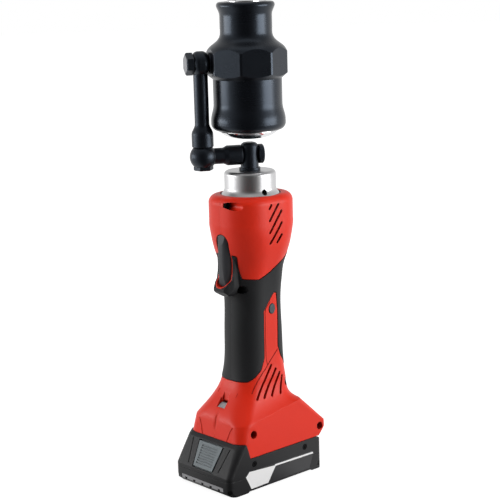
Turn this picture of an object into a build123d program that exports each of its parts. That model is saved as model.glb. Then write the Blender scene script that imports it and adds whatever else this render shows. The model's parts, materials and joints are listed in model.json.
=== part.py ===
# Cordless hydraulic sheet metal punch: a battery hand tool with a swivelling hydraulic draw head.
# Millimetres. +Z is up, the trigger faces -Y, and the origin is on the floor under the tool's axis.
import math
import os

from build123d import *

os.makedirs("parts", exist_ok=True)

# Fits and clearances
seam_gap = 0.3
running_gap = 0.06
slide_gap = 0.35
reach_far = 80.0

# Battery pack
pack_half_width = 37.5
pack_front = 69.0
pack_back = 47.5
pack_split_z = 15.0
pack_top_z = 31.2
pack_nose_z = 45.2
pack_nose_y = 52.3
pack_step_y = 42.5
pack_step_run = 4.5
pack_corner = 5.0
pack_nose_corner = 8.0
pack_heel_round = 7.0
pack_undercut = 5.0
pack_wall = 2.2
pack_groove = 0.5
undercut_height = 4.2
foot_height = 1.2
foot_front_y = -45.0
foot_back_y = 32.5
foot_ramp = 1.5
keel_half_width = 20.0
face_top_y = 55.5
face_top_z = 42.0
face_bottom_z = 18.0
cell_radius = 9.2
cell_length = 65.0
cell_count = 5
cell_pitch = 18.8
cell_middle_y = -10.0
cell_lift = 0.4
frame_thickness = 3.0
frame_inset = 6.0
frame_top_z = 22.4
frame_end_margin = 2.5
rail_stem_half = 18.0
rail_flange_half = 22.0
rail_stem_height = 3.4
rail_height = 6.8
rail_front_y = -40.0
rail_back_y = 30.0
board_thickness = 1.6
board_margin = 4.0
blade_count = 3
blade_pitch = 8.0
blade_thickness = 0.8
blade_length = 16.0
blade_height = 4.0
terminal_half_width = 14.0
terminal_length = 12.0
terminal_lift = 0.6
release_half_top = 15.8
release_half_bottom = 12.8
release_gap = 1.2
release_margin = 2.0
release_thickness = 4.0
release_proud = 0.5
release_rib_count = 8
release_rib_depth = 0.7
release_flange = 1.0
release_catch = 0.8
release_flange_height = 1.2
release_rib_margin = 2.4
ridge_top_x = 25.3
ridge_bottom_x = 20.6
ridge_length = 23.0
ridge_lift = 1.0
ridge_width = 0.9
ridge_depth = 0.6
strip_half_width = 28.5
strip_height = 3.6
strip_depth = 3.0
strip_z = 4.7
strip_notch_count = 5
strip_notch_width = 3.0
strip_notch_height = 1.6
pack_screw_radius = 2.7
pack_screw_z = 25.4
pack_screw_ys = (-38.5, 25.2)
pack_screw_head = 0.9
pack_screw_sink = 0.3
pack_screw_shank = 1.2
pack_screw_length = 6.0
pack_boss_length = 4.5
pack_boss_radius = 2.6
corner_hole_radius = 2.4
corner_hole_z = 5.2
corner_hole_depth = 2.2
rear_hole_y = 42.6
label_depth = 0.3
# Outline of the side label: y and z
label_outline = ((-49.0, 15.5), (-44.7, 19.7), (34.5, 18.9), (36.5, 16.6), (31.0, 3.2), (-42.7, 3.0))

# Handle and housing shells
wall = 3.6
inner_ease = 0.3
grip_depth = 1.8
grip_proud = 0.35
grip_groove = 0.7
grip_corner = 1.6
handle_half_width = 21.5
handle_front = 28.6
handle_back = 26.0
handle_corner = 20.0
dome_radius = 37.6
dome_bottom_z = 241.0
dome_top_z = 265.0
dome_half_width = 32.6
dome_corner = 28.0
rim_round = 7.5
rim_lip_z = 258.0
rim_opening = 27.4
opening_radius = 30.0
shoe_bottom_z = pack_top_z + seam_gap
shoe_half_width = 36.8
shoe_front = 53.0
shoe_back = 54.8
shoe_heel_round = 11.0
crease_tilt = 9.0
crease_z = 68.0
rail_slab_top = 42.0
main_board_half_width = 24.0
main_board_half_length = 24.0
lead_radius = 1.1
rib_thickness = 3.0
vent_width = 2.3
vent_low_y = -7.3
vent_high_y = 7.1
vent_slope = 1.28
vent_pitch = 10.9
vent_bottom_z = 222.6
vent_top_z = 257.1
fan_vent_tops = ((-0.6, 107.2), (4.4, 102.6), (8.7, 98.5), (11.8, 94.7))
fan_vent_bottom_z = 80.0
fan_vent_bottom_ys = (-22.5, -14.0, -4.8, 5.6)
window_half_width = 4.7
window_front_y = -43.6
window_front_z = 71.8
window_back_y = -38.2
window_back_z = 75.2
window_thickness = 1.8
window_gap = 0.45
notch_half_width = 3.6
notch_foot_y = -37.6
notch_top_y = -35.2
notch_top_z = 84.8

# Screws that close the shells: y and z of each, the second one set in the soft grip
screw_spots = ((-34.2, 258.0), (-24.8, 180.6), (19.0, 87.0), (-36.5, 52.2), (46.6, 40.5))
screw_seat = 4.5
screw_head_radius = 2.6
screw_head_height = 2.0
screw_shank_radius = 1.5
screw_length = 14.0
screw_boss_radius = 5.2
screw_recess_radius = 3.7
sleeve_wall = 0.8

# Trigger group
trigger_half_width = 7.5
trigger_top_z = 231.0
trigger_bottom_z = 184.2
trigger_front_y = -38.4
trigger_back_y = -29.3
trigger_edge = 7.2
trigger_slot_gap = 0.6
liner_width = 0.9
trigger_pin_radius = 1.5
trigger_pin_z = 222.0
trigger_pin_y = -32.0
trigger_pin_half = 12.0
trigger_boss = 4.0
guard_half_width = 11.2
guard_tip_y = -41.8
guard_tip_z = 182.6
guard_bottom_z = 173.6
guard_round = 2.4
switch_half_width = 7.0
switch_front_y = -25.3
switch_depth = 6.2
switch_bottom_z = 185.7
switch_height = 25.5

# Retract button on the right side
retract_y = 2.7
retract_z = 159.6
retract_half_length = 4.7
retract_half_width = 3.8
retract_proud = 0.8
retract_root = 18.1
retract_gap = 0.25

# Drive train inside the handle
motor_radius = 16.5
motor_bottom_z = 114.0
motor_length = 46.0
can_wall = 1.4
bell_height = 4.0
shaft_radius = 2.0
armature_radius = 12.0
armature_length = 30.0
commutator_radius = 6.0
commutator_length = 5.0
fan_radius = 14.0
fan_height = 6.0
fan_blade_count = 8
fan_blade_thickness = 1.2
fan_hub_radius = 4.0
fan_drop = 2.0
gear_module = 0.6
tooth_root = 0.95
tooth_tip = 0.75
tooth_root_half = 0.85
tooth_tip_half = 0.31
sun_teeth = 12
planet_teeth = 18
planet_count = 3
gear_width = 8.0
gear_case_height = 22.0
planet_pin_radius = 1.5
carrier_thickness = 3.0
carrier_radius = 12.4
bearing_height = 5.0
drive_shaft_radius = 4.0
eccentric_radius = 6.0
eccentric_offset = 1.5
eccentric_height = 8.0
eccentric_z = 190.0

# Pump and nose
pump_radius = 24.0
pump_skirt_radius = 18.2
pump_skirt_z = 187.0
pump_shoulder_z = 212.0
pump_flange_z = 246.0
pump_top_z = 252.0
pump_chamber_radius = 10.5
pump_chamber_top_z = 206.0
plunger_radius = 3.0
plunger_z = 194.0
plunger_sink = 1.0
valve_radius = 2.4
valve_length = 10.0
bladder_thickness = 3.0
bladder_bottom_z = 221.0
bladder_top_z = 239.0
collar_radius = 23.4
collar_flare_radius = 26.8
collar_flare_z = 270.5
collar_base_z = 263.6
collar_top_z = 285.5
collar_edge = 3.2
set_screw_radius = 2.6
set_screw_z = 267.8
set_screw_angle = -11.0
set_screw_sink = 1.2
set_screw_length = 7.0

# Swivel linkage
swing_yaw = 28.0
arm_reach = 42.6
arm_z = 299.8
post_radius = 8.15
post_flat = 7.5
post_top_z = 310.8
post_round = 4.5
post_foot_radius = 9.6
post_foot_height = 2.4
spigot_radius = 7.0
spigot_length = 25.0
clip_depth = 1.2
clip_height = 1.4
clip_lift = 1.0
clip_chamber_radius = 12.0
arm_radius = 7.25
arm_collar_radius = 9.0
arm_collar_length = 13.0
arm_edge = 0.8
arm_blend = 4.0
knuckle_radius = 12.0
knuckle_half_height = 8.6
rod_radius = 6.5
rod_collar_radius = 9.75
rod_collar_height = 11.0
rod_cone_height = 10.5
eye_radius = 11.0
eye_half_width = 7.0
eye_round = 5.2
head_pivot_z = 382.5
bolt_radius = 4.0
bolt_flats = 15.6
bolt_head_height = 3.4
bolt_grip = 12.0
disc_head_radius = 8.75
disc_head_height = 5.0
banjo_radius = 5.0
banjo_flats = 17.4
banjo_head_height = 6.6
banjo_chamfer = 1.2
banjo_grip = 12.0
oil_radius = 1.5
oil_offset = 19.7
gasket_radius = 9.5
seal_section = 1.0

# Draw head
octagon_apothem = 33.9
octagon_corner = 36.3
octagon_top_z = 391.5
octagon_bottom_z = 372.4
shoulder_radius = 34.6
shoulder_z = 394.2
neck_radius = 23.25
neck_z = 409.0
lip_radius = 25.9
lip_start_z = 423.0
lip_z = 431.4
lip_round = 3.0
head_top_z = 435.2
barrel_radius = 30.85
barrel_top_z = 367.8
barrel_bottom_z = 346.0
bowl_radius = 33.5
bowl_top_z = 330.5
bowl_side_z = 328.5
bowl_edge_radius = 27.2
bowl_edge_z = 322.0
cap_radius = 23.0
cap_depth = 4.0
cap_flange_radius = 26.8
cap_flange_height = 0.8
cap_face_radius = 8.0
cap_face_z = 314.6
bore_radius = 22.8
bore_top_z = 356.0
piston_rod_radius = 16.5
rod_proud = 2.0
rod_chamfer = 1.2
piston_bottom_z = 347.0
piston_height = 8.0
ring_groove = 1.6
bush_radius = 19.0
bush_height = 14.0
wiper_height = 4.0
wiper_sink = 0.8
socket_radius = 9.525
socket_depth = 30.0
spring_pocket_radius = 10.2
spring_outer_radius = 9.6
spring_wire = 2.8
spring_pocket_top_z = 394.0

# Values that follow from the sizes above
yaw = math.radians(swing_yaw)
reach_x = -math.sin(yaw)
reach_y = -math.cos(yaw)
reach_angle = math.degrees(math.atan2(reach_y, reach_x))
arm_plane = Plane(origin=(0, 0, 0), x_dir=(reach_x, reach_y, 0), z_dir=(reach_y, -reach_x, 0))
arm_axis = Axis((0, 0, arm_z), (reach_x, reach_y, 0))
head_axis = Axis((0, 0, head_pivot_z), (reach_x, reach_y, 0))
riser_axis = Axis((arm_reach * reach_x, arm_reach * reach_y, 0), (0, 0, 1))
motor_top_z = motor_bottom_z + motor_length
gear_bottom_z = motor_top_z + bell_height
gear_case_top_z = gear_bottom_z + gear_case_height
ring_teeth = sun_teeth + 2 * planet_teeth
planet_orbit = gear_module * (sun_teeth + planet_teeth) / 2
face_run = pack_front - face_top_y
face_rise = face_top_z - face_bottom_z
face_length = math.hypot(face_run, face_rise)
knuckle_top_z = arm_z + knuckle_half_height
knuckle_bottom_z = arm_z - knuckle_half_height


def keep(solid, name):
    solid.label = name
    export_step(solid, f"parts/{name}.step")


def prism(plane, outline, amount, both=False):
    """Extrude a closed outline of points from a plane."""
    with BuildPart() as piece:
        with BuildSketch(plane):
            with BuildLine():
                Polyline(*outline, close=True)
            make_face()
        extrude(amount=amount, both=both)
    return piece.part


def turned(plane, axis, outline):
    """Revolve a closed outline of points about an axis."""
    with BuildPart() as piece:
        with BuildSketch(plane):
            with BuildLine():
                Polyline(*outline, close=True)
            make_face()
        revolve(axis=axis)
    return piece.part


def rod(plane, radius, length):
    """A round bar that starts on a plane."""
    with BuildPart() as piece:
        with BuildSketch(plane):
            Circle(radius)
        extrude(amount=length)
    return piece.part


def ring(bottom, height, outer, inner):
    """A plain round ring about the tool's axis."""
    with BuildPart() as piece:
        with BuildSketch(Plane.XY.offset(bottom)):
            Circle(outer)
            Circle(inner, mode=Mode.SUBTRACT)
        extrude(amount=height)
    return piece.part


def block(low, high):
    """A box between two opposite corners."""
    with BuildPart() as piece:
        with Locations(tuple((a + b) / 2 for a, b in zip(low, high))):
            Box(*(b - a for a, b in zip(low, high)))
    return piece.part


def reach_face(distance, z):
    """A plane square to the swivel's reach, at a distance from the tool's axis."""
    spot = (distance * reach_x, distance * reach_y, z)
    return Plane(origin=spot, x_dir=(0, 0, 1), z_dir=(reach_x, reach_y, 0))


def side_face(x, y, z):
    """A plane that faces +X at a point."""
    return Plane(origin=(x, y, z), x_dir=(0, 1, 0), z_dir=(1, 0, 0))


def halves(solid):
    """Split a solid at the tool's mid plane into its left and right half."""
    with BuildPart() as left:
        add(solid)
        split(bisect_by=Plane.YZ, keep=Keep.BOTTOM)
    with BuildPart() as right:
        add(solid)
        split(bisect_by=Plane.YZ, keep=Keep.TOP)
    return left.part, right.part


# Outer form of the handle, as stations: height, tilt, half width, front, back, front and back corner
crease_station = (crease_z, crease_tilt, 35.0, 51.0, 27.0, 12.5, 7.0)
waist_station = (96.0, 0, 23.8, 30.8, 26.2, 19.5, 19.5)
dome_station = (dome_bottom_z, 0, dome_half_width, dome_radius, dome_radius, dome_corner, dome_corner)
shoe_low = (
    (shoe_bottom_z, 0, shoe_half_width, shoe_front, shoe_back, 8.0, 4.0),
    (45.0, 0, 36.2, shoe_front, shoe_back, 10.0, 4.0),
    crease_station,
)
shoe_high = (
    crease_station,
    (77.0, 6.0, 28.6, 44.0, 25.4, 17.0, 19.0),
    (85.0, 4.0, 25.4, 36.6, 25.8, 18.0, 19.0),
    waist_station,
)
handle_stations = (
    waist_station,
    (108.0, 0, 22.4, 29.3, 26.0, handle_corner, handle_corner),
    (128.0, 0, handle_half_width, handle_front, handle_back, handle_corner, handle_corner),
    (150.0, 0, handle_half_width, 27.8, 25.2, handle_corner, handle_corner),
    (168.0, 0, 21.7, 27.2, 24.9, handle_corner, handle_corner),
    (190.0, 0, 23.4, 29.4, 27.2, 21.8, 21.8),
    (206.0, 0, 27.4, 32.2, 31.0, 25.9, 25.9),
    (222.0, 0, 31.6, 35.8, 35.4, 28.6, 28.6),
    (230.0, 0, 32.4, 36.8, 36.6, 28.4, 28.4),
    (dome_bottom_z - 5, 0, dome_half_width, dome_radius - 0.1, dome_radius - 0.1, dome_corner, dome_corner),
    dome_station,
)


def station_section(station, inset):
    """Draw one rounded section, drawn in by the inset, the inner ones a little squarer."""
    height, tilt, half_width, front, back, front_corner, back_corner = station
    lean = math.radians(tilt)
    ease = inset + inner_ease * max(inset, 0)
    level = Plane((0, 0, height), x_dir=(1, 0, 0), z_dir=(0, -math.sin(lean), math.cos(lean)))
    with BuildSketch(level) as section:
        with Locations((0, (back - front) / 2)):
            Rectangle(2 * (half_width - inset), front + back - 2 * inset)
        fillet(section.vertices().group_by(Axis.Y)[0], front_corner - ease)
        fillet(section.vertices().group_by(Axis.Y)[-1], back_corner - min(ease, back_corner / 2))
    return section.sketch


def station_loft(stations, inset, ruled):
    """Loft a run of rounded sections, each drawn in by the inset."""
    with BuildPart() as piece:
        loft([station_section(station, inset) for station in stations], ruled=ruled)
    return piece.part


def body_form(inset):
    """The whole handle form, from the battery shoe to the domed top, drawn in by the inset."""
    with BuildPart() as dome:
        extrude(station_section(dome_station, inset), amount=dome_top_z - inset - dome_bottom_z)
        fillet(dome.faces().sort_by(Axis.Z)[-1].edges(), rim_round - inset / 2)
    with BuildPart() as piece:
        add(station_loft(shoe_low, inset, True))
        add(station_loft(shoe_high, inset, False))
        add(station_loft(handle_stations, inset, False))
        add(dome.part)
    return piece.part


def pack_outline(grow):
    """Side outline of the pack's upper half, as points of y and z, grown by a clearance."""
    return (
        (pack_back + grow, pack_split_z),
        (pack_back + grow, pack_top_z + grow),
        (grow - pack_step_y, pack_top_z + grow),
        (grow - pack_step_y - pack_step_run, pack_nose_z + grow),
        (-pack_nose_y - grow, pack_nose_z + grow),
        (-face_top_y - grow, face_top_z),
        (-pack_front - grow, face_bottom_z),
        (-pack_front - grow, pack_split_z),
    )


def rail_form(grow, front_y, back_y):
    """The T rail on top of the pack between two ends, grown by a clearance."""
    foot = pack_top_z - 1
    stem_top = pack_top_z + rail_stem_height - grow
    top = pack_top_z + rail_height + grow
    stem = rail_stem_half + grow
    flange = rail_flange_half + grow
    outline = ((-stem, foot), (-stem, stem_top), (-flange, stem_top), (-flange, top))
    outline += tuple((-x, z) for x, z in reversed(outline))
    return prism(Plane.XZ.offset(-back_y), outline, back_y - front_y)


def trigger_slot(grow):
    """The upright slot that the trigger works in, cut from the front into the handle."""
    length = trigger_top_z - trigger_bottom_z + 2 * grow
    with BuildPart() as piece:
        with BuildSketch(Plane.XZ.offset(-switch_front_y - 1)):
            with Locations((0, (trigger_top_z + trigger_bottom_z) / 2)):
                SlotOverall(length, 2 * (trigger_half_width + grow), rotation=90)
        extrude(amount=reach_far)
    return piece.part


outer_form = body_form(0)
skin_form = body_form(grip_depth)
inner_form = body_form(wall)
proud_form = body_form(-grip_proud)

# Side outline of the soft grip, which runs round a red stripe on each flank
grip_outline = (
    (-reach_far, 212.3),
    (-31.6, 212.3),
    (-26.0, 190.3),
    (-13.0, 189.0),
    (-1.0, 194.5),
    (9.0, 201.2),
    (20.0, 207.0),
    (reach_far, 232.0),
    (reach_far, 99.0),
    (26.0, 99.0),
    (13.3, 113.4),
    (9.7, 123.0),
    (10.6, 157.0),
    (8.6, 174.5),
    (4.6, 174.5),
    (-7.8, 159.0),
    (-8.2, 127.0),
    (-8.8, 115.5),
    (-13.5, 105.2),
    (-20.0, 99.4),
    (-26.0, 95.6),
    (-reach_far, 93.4),
)
with BuildPart() as grip_mask:
    with BuildSketch(Plane.YZ) as grip_face:
        with BuildLine():
            Polyline(*grip_outline, close=True)
        make_face()
        inner_corners = grip_face.vertices().filter_by(lambda v: abs(v.X) < reach_far - 1)
        fillet(inner_corners, grip_corner)
    extrude(amount=reach_far, both=True)
with BuildPart() as groove_mask:
    with BuildSketch(Plane.YZ):
        add(grip_face.sketch_local)
        offset(amount=grip_groove)
    extrude(amount=reach_far, both=True)

# Beak under the trigger, as a side outline and a plan that narrows to the tip
guard_side = (
    (-20.0, 210.0),
    (-32.4, 210.0),
    (-32.2, 203.0),
    (-32.6, 196.4),
    (-34.4, 190.0),
    (-38.0, 187.0),
    (guard_tip_y, guard_tip_z),
    (guard_tip_y, guard_tip_z - 2.6),
    (-33.6, guard_bottom_z),
    (-20.0, guard_bottom_z),
)
guard_plan = (
    (-guard_half_width - 1, -20.0),
    (-guard_half_width, -33.0),
    (2 - guard_half_width, guard_tip_y + 4),
    (5 - guard_half_width, guard_tip_y - 1),
)
guard_plan += tuple((-x, y) for x, y in reversed(guard_plan))
with BuildPart() as guard:
    with BuildSketch(Plane.YZ) as beak_side:
        with BuildLine():
            Polyline(*guard_side, close=True)
        make_face()
        fillet(beak_side.vertices().sort_by(Axis.X)[:2], guard_round / 2)
    extrude(amount=2 * guard_half_width, both=True)
    with BuildSketch(Plane.XZ):
        with Locations((0, (guard_bottom_z + dome_top_z) / 2)):
            SlotOverall(dome_top_z - guard_bottom_z, 2 * guard_half_width, rotation=90)
    extrude(amount=reach_far, mode=Mode.INTERSECT)
    with BuildSketch(Plane.XY) as beak_plan:
        with BuildLine():
            Polyline(*guard_plan, close=True)
        make_face()
        fillet(beak_plan.vertices().sort_by(Axis.Y)[:6], guard_round)
    extrude(amount=dome_top_z, mode=Mode.INTERSECT)
    add(skin_form, mode=Mode.SUBTRACT)

# Rooms inside the shells
rib_bores = (
    (motor_bottom_z + 4, motor_radius),
    (motor_top_z - 6, motor_radius),
    (gear_bottom_z + 5, motor_radius),
    (pump_skirt_z + 5, pump_skirt_radius),
    (pump_flange_z - rib_thickness, pump_radius),
)
switch_low = (-switch_half_width, switch_front_y, switch_bottom_z)
switch_high = (switch_half_width, switch_front_y + switch_depth, switch_bottom_z + switch_height)
with BuildPart() as rooms:
    add(inner_form)
    for rib_z, bore in rib_bores:
        with BuildSketch(Plane.XY.offset(rib_z)):
            Rectangle(2 * reach_far, 2 * reach_far)
            Circle(bore + running_gap, mode=Mode.SUBTRACT)
        extrude(amount=rib_thickness, mode=Mode.SUBTRACT)
    for y, z in screw_spots:
        add(rod(side_face(-reach_far, y, z), screw_boss_radius, 2 * reach_far), mode=Mode.SUBTRACT)
    add(block((-reach_far, -reach_far, 0), (reach_far, reach_far, rail_slab_top)), mode=Mode.SUBTRACT)
    for side in (-1, 1):
        boss_x = side * (trigger_half_width + trigger_slot_gap + trigger_boss / 2)
        with Locations((boss_x, trigger_pin_y, trigger_pin_z)):
            Box(trigger_boss, 2 * trigger_boss, 2 * trigger_boss, mode=Mode.SUBTRACT)
    add(block(switch_low, switch_high))

terminal_y = rail_back_y + slide_gap
terminal_low = (-terminal_half_width, terminal_y, shoe_bottom_z + terminal_lift)
terminal_high = (terminal_half_width, terminal_y + terminal_length, rail_slab_top - 2)
pack_space = prism(Plane.YZ, pack_outline(seam_gap), reach_far, both=True)
slot_cut = trigger_slot(trigger_slot_gap)
rim_cut = trigger_slot(trigger_slot_gap + liner_width)
window_slope = (window_back_z - window_front_z) / (window_back_y - window_front_y)
# The window lies slanted at the foot of a narrower notch whose back leans to the front of the shell
window_clear = (
    (-reach_far, window_back_z - window_slope * (window_back_y + reach_far)),
    (window_back_y, window_back_z),
    (window_back_y, waist_station[0]),
    (-reach_far, waist_station[0]),
)
notch_foot_z = window_back_z - window_thickness / 2
notch_outline = (
    (-reach_far, notch_foot_z),
    (notch_foot_y, notch_foot_z),
    (notch_top_y, notch_top_z),
    (-reach_far, notch_top_z),
)
window_outline = (
    (window_front_y, window_front_z),
    (window_back_y, window_back_z),
    (window_back_y, window_back_z - window_thickness),
    (window_front_y, window_front_z - window_thickness),
)
heel = (
    (shoe_back - shoe_heel_round, shoe_bottom_z - 1),
    (reach_far, shoe_bottom_z - 1),
    (reach_far, shoe_bottom_z + shoe_heel_round),
    (shoe_back, shoe_bottom_z + shoe_heel_round * 0.9),
)


def vent_cuts():
    """Slanted slots in both flanks, above at the pump and below over the electronics."""
    with BuildPart() as piece:
        with BuildSketch(Plane.YZ):
            for step in range(-1, 5):
                start_z = vent_bottom_z + vent_pitch * (step - 0.1)
                low_z = max(start_z, vent_bottom_z)
                high_z = min(start_z + vent_slope * (vent_high_y - vent_low_y), vent_top_z)
                if high_z - low_z > vent_width:
                    low_y = vent_low_y + (low_z - start_z) / vent_slope
                    high_y = vent_low_y + (high_z - start_z) / vent_slope
                    slit = math.hypot(high_y - low_y, high_z - low_z)
                    with Locations(((low_y + high_y) / 2, (low_z + high_z) / 2)):
                        SlotCenterToCenter(slit, vent_width, rotation=math.degrees(math.atan(vent_slope)))
            for (top_y, top_z), bottom_y in zip(fan_vent_tops, fan_vent_bottom_ys):
                run = top_y - bottom_y
                rise = top_z - fan_vent_bottom_z
                with Locations(((top_y + bottom_y) / 2, (top_z + fan_vent_bottom_z) / 2)):
                    SlotCenterToCenter(
                        math.hypot(run, rise), vent_width, rotation=math.degrees(math.atan2(rise, run))
                    )
        extrude(amount=reach_far, both=True)
        add(block((-motor_radius, -reach_far, 0), (motor_radius, reach_far, dome_top_z)), mode=Mode.SUBTRACT)
    return piece.part


def screw_cuts():
    """Holes and head recesses of the screws that close the shells."""
    with BuildPart() as piece:
        for y, z in screw_spots:
            add(rod(side_face(screw_seat, y, z), screw_recess_radius, reach_far))
            add(rod(side_face(screw_seat - screw_length, y, z), screw_shank_radius, screw_length))
    return piece.part


grip_screw_y, grip_screw_z = screw_spots[1]
with BuildPart() as sleeve:
    add(rod(side_face(screw_seat, grip_screw_y, grip_screw_z), screw_recess_radius + sleeve_wall, reach_far))
    add(skin_form, mode=Mode.INTERSECT)
with BuildPart() as shell:
    add(outer_form)
    add(rooms.part, mode=Mode.SUBTRACT)
    add(pack_space, mode=Mode.SUBTRACT)
    add(rail_form(slide_gap, -pack_nose_y, terminal_y), mode=Mode.SUBTRACT)
    add(block(terminal_low, terminal_high), mode=Mode.SUBTRACT)
    add(rod(Plane.XY.offset(pump_flange_z), opening_radius, rim_lip_z - pump_flange_z), mode=Mode.SUBTRACT)
    add(rod(Plane.XY.offset(pump_flange_z), rim_opening, reach_far), mode=Mode.SUBTRACT)
    add(slot_cut, mode=Mode.SUBTRACT)
    add(vent_cuts(), mode=Mode.SUBTRACT)
    add(prism(Plane.YZ, heel, reach_far, both=True), mode=Mode.SUBTRACT)
    add(prism(Plane.YZ, window_clear, window_half_width + window_gap, both=True), mode=Mode.SUBTRACT)
    add(prism(Plane.YZ, window_outline, window_half_width + window_gap, both=True), mode=Mode.SUBTRACT)
    add(prism(Plane.YZ, notch_outline, notch_half_width, both=True), mode=Mode.SUBTRACT)
    add(sleeve.part, mode=Mode.SUBTRACT)
    add(screw_cuts(), mode=Mode.SUBTRACT)
    pin_hole = rod(
        side_face(-trigger_pin_half, trigger_pin_y, trigger_pin_z), trigger_pin_radius, 2 * trigger_pin_half
    )
    add(pin_hole, mode=Mode.SUBTRACT)
    with BuildSketch(side_face(0, retract_y, retract_z)):
        Ellipse(retract_half_width + retract_gap, retract_half_length + retract_gap)
    extrude(amount=reach_far, mode=Mode.SUBTRACT)

# The soft grip lies in a pocket of the shells, and a thin red rim of them shows round the trigger
with BuildPart() as soft_space:
    add(proud_form)
    add(groove_mask.part, mode=Mode.INTERSECT)
    add(skin_form, mode=Mode.SUBTRACT)
    add(guard.part)
    add(rim_cut, mode=Mode.SUBTRACT)
with BuildPart() as liner:
    add(guard.part)
    add(rim_cut, mode=Mode.INTERSECT)
    add(slot_cut, mode=Mode.SUBTRACT)
with BuildPart() as red_shell:
    add(shell.part)
    add(soft_space.part, mode=Mode.SUBTRACT)
    add(liner.part)
left_shell, right_shell = halves(red_shell.part)
keep(left_shell, "left_housing")
keep(right_shell, "right_housing")

with BuildPart() as grip:
    add(proud_form)
    add(grip_mask.part, mode=Mode.INTERSECT)
    add(skin_form, mode=Mode.SUBTRACT)
    add(guard.part)
    add(sleeve.part)
    add(rim_cut, mode=Mode.SUBTRACT)
    add(screw_cuts(), mode=Mode.SUBTRACT)
left_soft, right_soft = halves(grip.part)
keep(left_soft, "left_grip")
keep(right_soft, "right_grip")

# Screws that close the shells
with BuildPart() as housing_screws:
    for y, z in screw_spots:
        add(rod(side_face(screw_seat, y, z), screw_head_radius, screw_head_height))
        add(rod(side_face(screw_seat - screw_length, y, z), screw_shank_radius, screw_length))
        with BuildSketch(side_face(screw_seat + screw_head_height, y, z)):
            RegularPolygon(screw_head_radius / 2, 6)
        extrude(amount=-screw_head_height / 2, mode=Mode.SUBTRACT)
keep(housing_screws.part, "housing_screws")

# Trigger lever, hung from a cross pin at its top
trigger_outline = (
    (trigger_front_y + 1.6, trigger_top_z),
    (trigger_front_y + 0.2, trigger_top_z - 9),
    (trigger_front_y, trigger_bottom_z + 23),
    (trigger_front_y + 0.4, trigger_bottom_z + 8),
    (trigger_front_y + 1.6, trigger_bottom_z),
    (trigger_back_y, trigger_bottom_z),
    (trigger_back_y, trigger_top_z - 2.5),
    (trigger_back_y - 2.5, trigger_top_z),
)
with BuildPart() as trigger:
    add(prism(Plane.YZ, trigger_outline, trigger_half_width, both=True))
    add(trigger_slot(0), mode=Mode.INTERSECT)
    with BuildSketch(Plane.XY) as trigger_plan:
        with Locations((0, (trigger_front_y + trigger_back_y) / 2)):
            Rectangle(2 * trigger_half_width, trigger_back_y - trigger_front_y)
        fillet(trigger_plan.vertices().group_by(Axis.Y)[0], trigger_edge)
    extrude(amount=dome_top_z, mode=Mode.INTERSECT)
    pin_bore = rod(
        side_face(-reach_far, trigger_pin_y, trigger_pin_z), trigger_pin_radius + running_gap, 2 * reach_far
    )
    add(pin_bore, mode=Mode.SUBTRACT)
keep(trigger.part, "trigger")
keep(pin_hole, "trigger_pin")
keep(block(switch_low, switch_high), "switch_module")

# Retract button and status window
with BuildPart() as retract_button:
    with BuildSketch(side_face(retract_root, retract_y, retract_z)):
        Ellipse(retract_half_width, retract_half_length)
    extrude(amount=handle_half_width + retract_proud - retract_root)
    fillet(retract_button.faces().sort_by(Axis.X)[-1].edges(), retract_proud)
keep(retract_button.part, "retract_button")
with BuildPart() as status_lens:
    add(prism(Plane.YZ, window_outline, window_half_width, both=True))
    add(outer_form, mode=Mode.INTERSECT)
keep(status_lens.part, "status_lens")

# Electronics in the shoe
control_board = block(
    (-main_board_half_width, -main_board_half_length, rail_slab_top),
    (main_board_half_width, main_board_half_length, rail_slab_top + board_thickness),
)
keep(control_board, "control_board")
keep(block(terminal_low, terminal_high), "terminal_block")
blade_low_z = pack_top_z + (rail_height - blade_height) / 2
blade_xs = [blade_pitch * (k - (blade_count - 1) / 2) for k in range(blade_count)]


def blade_form(x, grow):
    """One terminal blade, grown by a clearance."""
    return block(
        (x - blade_thickness / 2 - grow, terminal_y - blade_length - grow, blade_low_z - grow),
        (x + blade_thickness / 2 + grow, terminal_y, blade_low_z + blade_height + grow),
    )


with BuildPart() as terminal_blades:
    for x in blade_xs:
        add(blade_form(x, 0))
keep(terminal_blades.part, "terminal_blades")

# Motor, its leads, fan and rotor
with BuildPart() as motor_can:
    add(ring(motor_bottom_z, motor_length, motor_radius, motor_radius - can_wall))
    add(ring(motor_bottom_z, can_wall * 2, motor_radius, shaft_radius + running_gap))
keep(motor_can.part, "motor_can")
keep(ring(motor_top_z, bell_height, motor_radius, shaft_radius + running_gap), "motor_end_bell")
board_top_z = rail_slab_top + board_thickness
lead_x = fan_radius + seam_gap + lead_radius
with BuildPart() as motor_leads:
    for side in (-1, 1):
        add(rod(Plane((side * lead_x, 0, board_top_z)), lead_radius, motor_bottom_z - board_top_z))
keep(motor_leads.part, "motor_leads")
armature_z = motor_bottom_z + (motor_length - armature_length) / 2
shaft_bottom_z = motor_bottom_z - fan_drop - fan_height
sun_bottom_z = gear_bottom_z + seam_gap
with BuildPart() as rotor:
    add(rod(Plane.XY.offset(shaft_bottom_z), shaft_radius, sun_bottom_z + gear_width - shaft_bottom_z))
    add(rod(Plane.XY.offset(armature_z), armature_radius, armature_length))
    add(rod(Plane.XY.offset(armature_z + armature_length), commutator_radius, commutator_length))
keep(rotor.part, "rotor")
with BuildPart() as cooling_fan:
    add(ring(shaft_bottom_z, fan_height, fan_hub_radius, shaft_radius))
    add(ring(shaft_bottom_z, fan_height / 4, fan_radius, shaft_radius))
    with BuildSketch(Plane.XY.offset(shaft_bottom_z)):
        with PolarLocations((fan_radius + shaft_radius) / 2, fan_blade_count):
            Rectangle(fan_radius - fan_hub_radius, fan_blade_thickness)
    extrude(amount=fan_height)
keep(cooling_fan.part, "cooling_fan")


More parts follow.
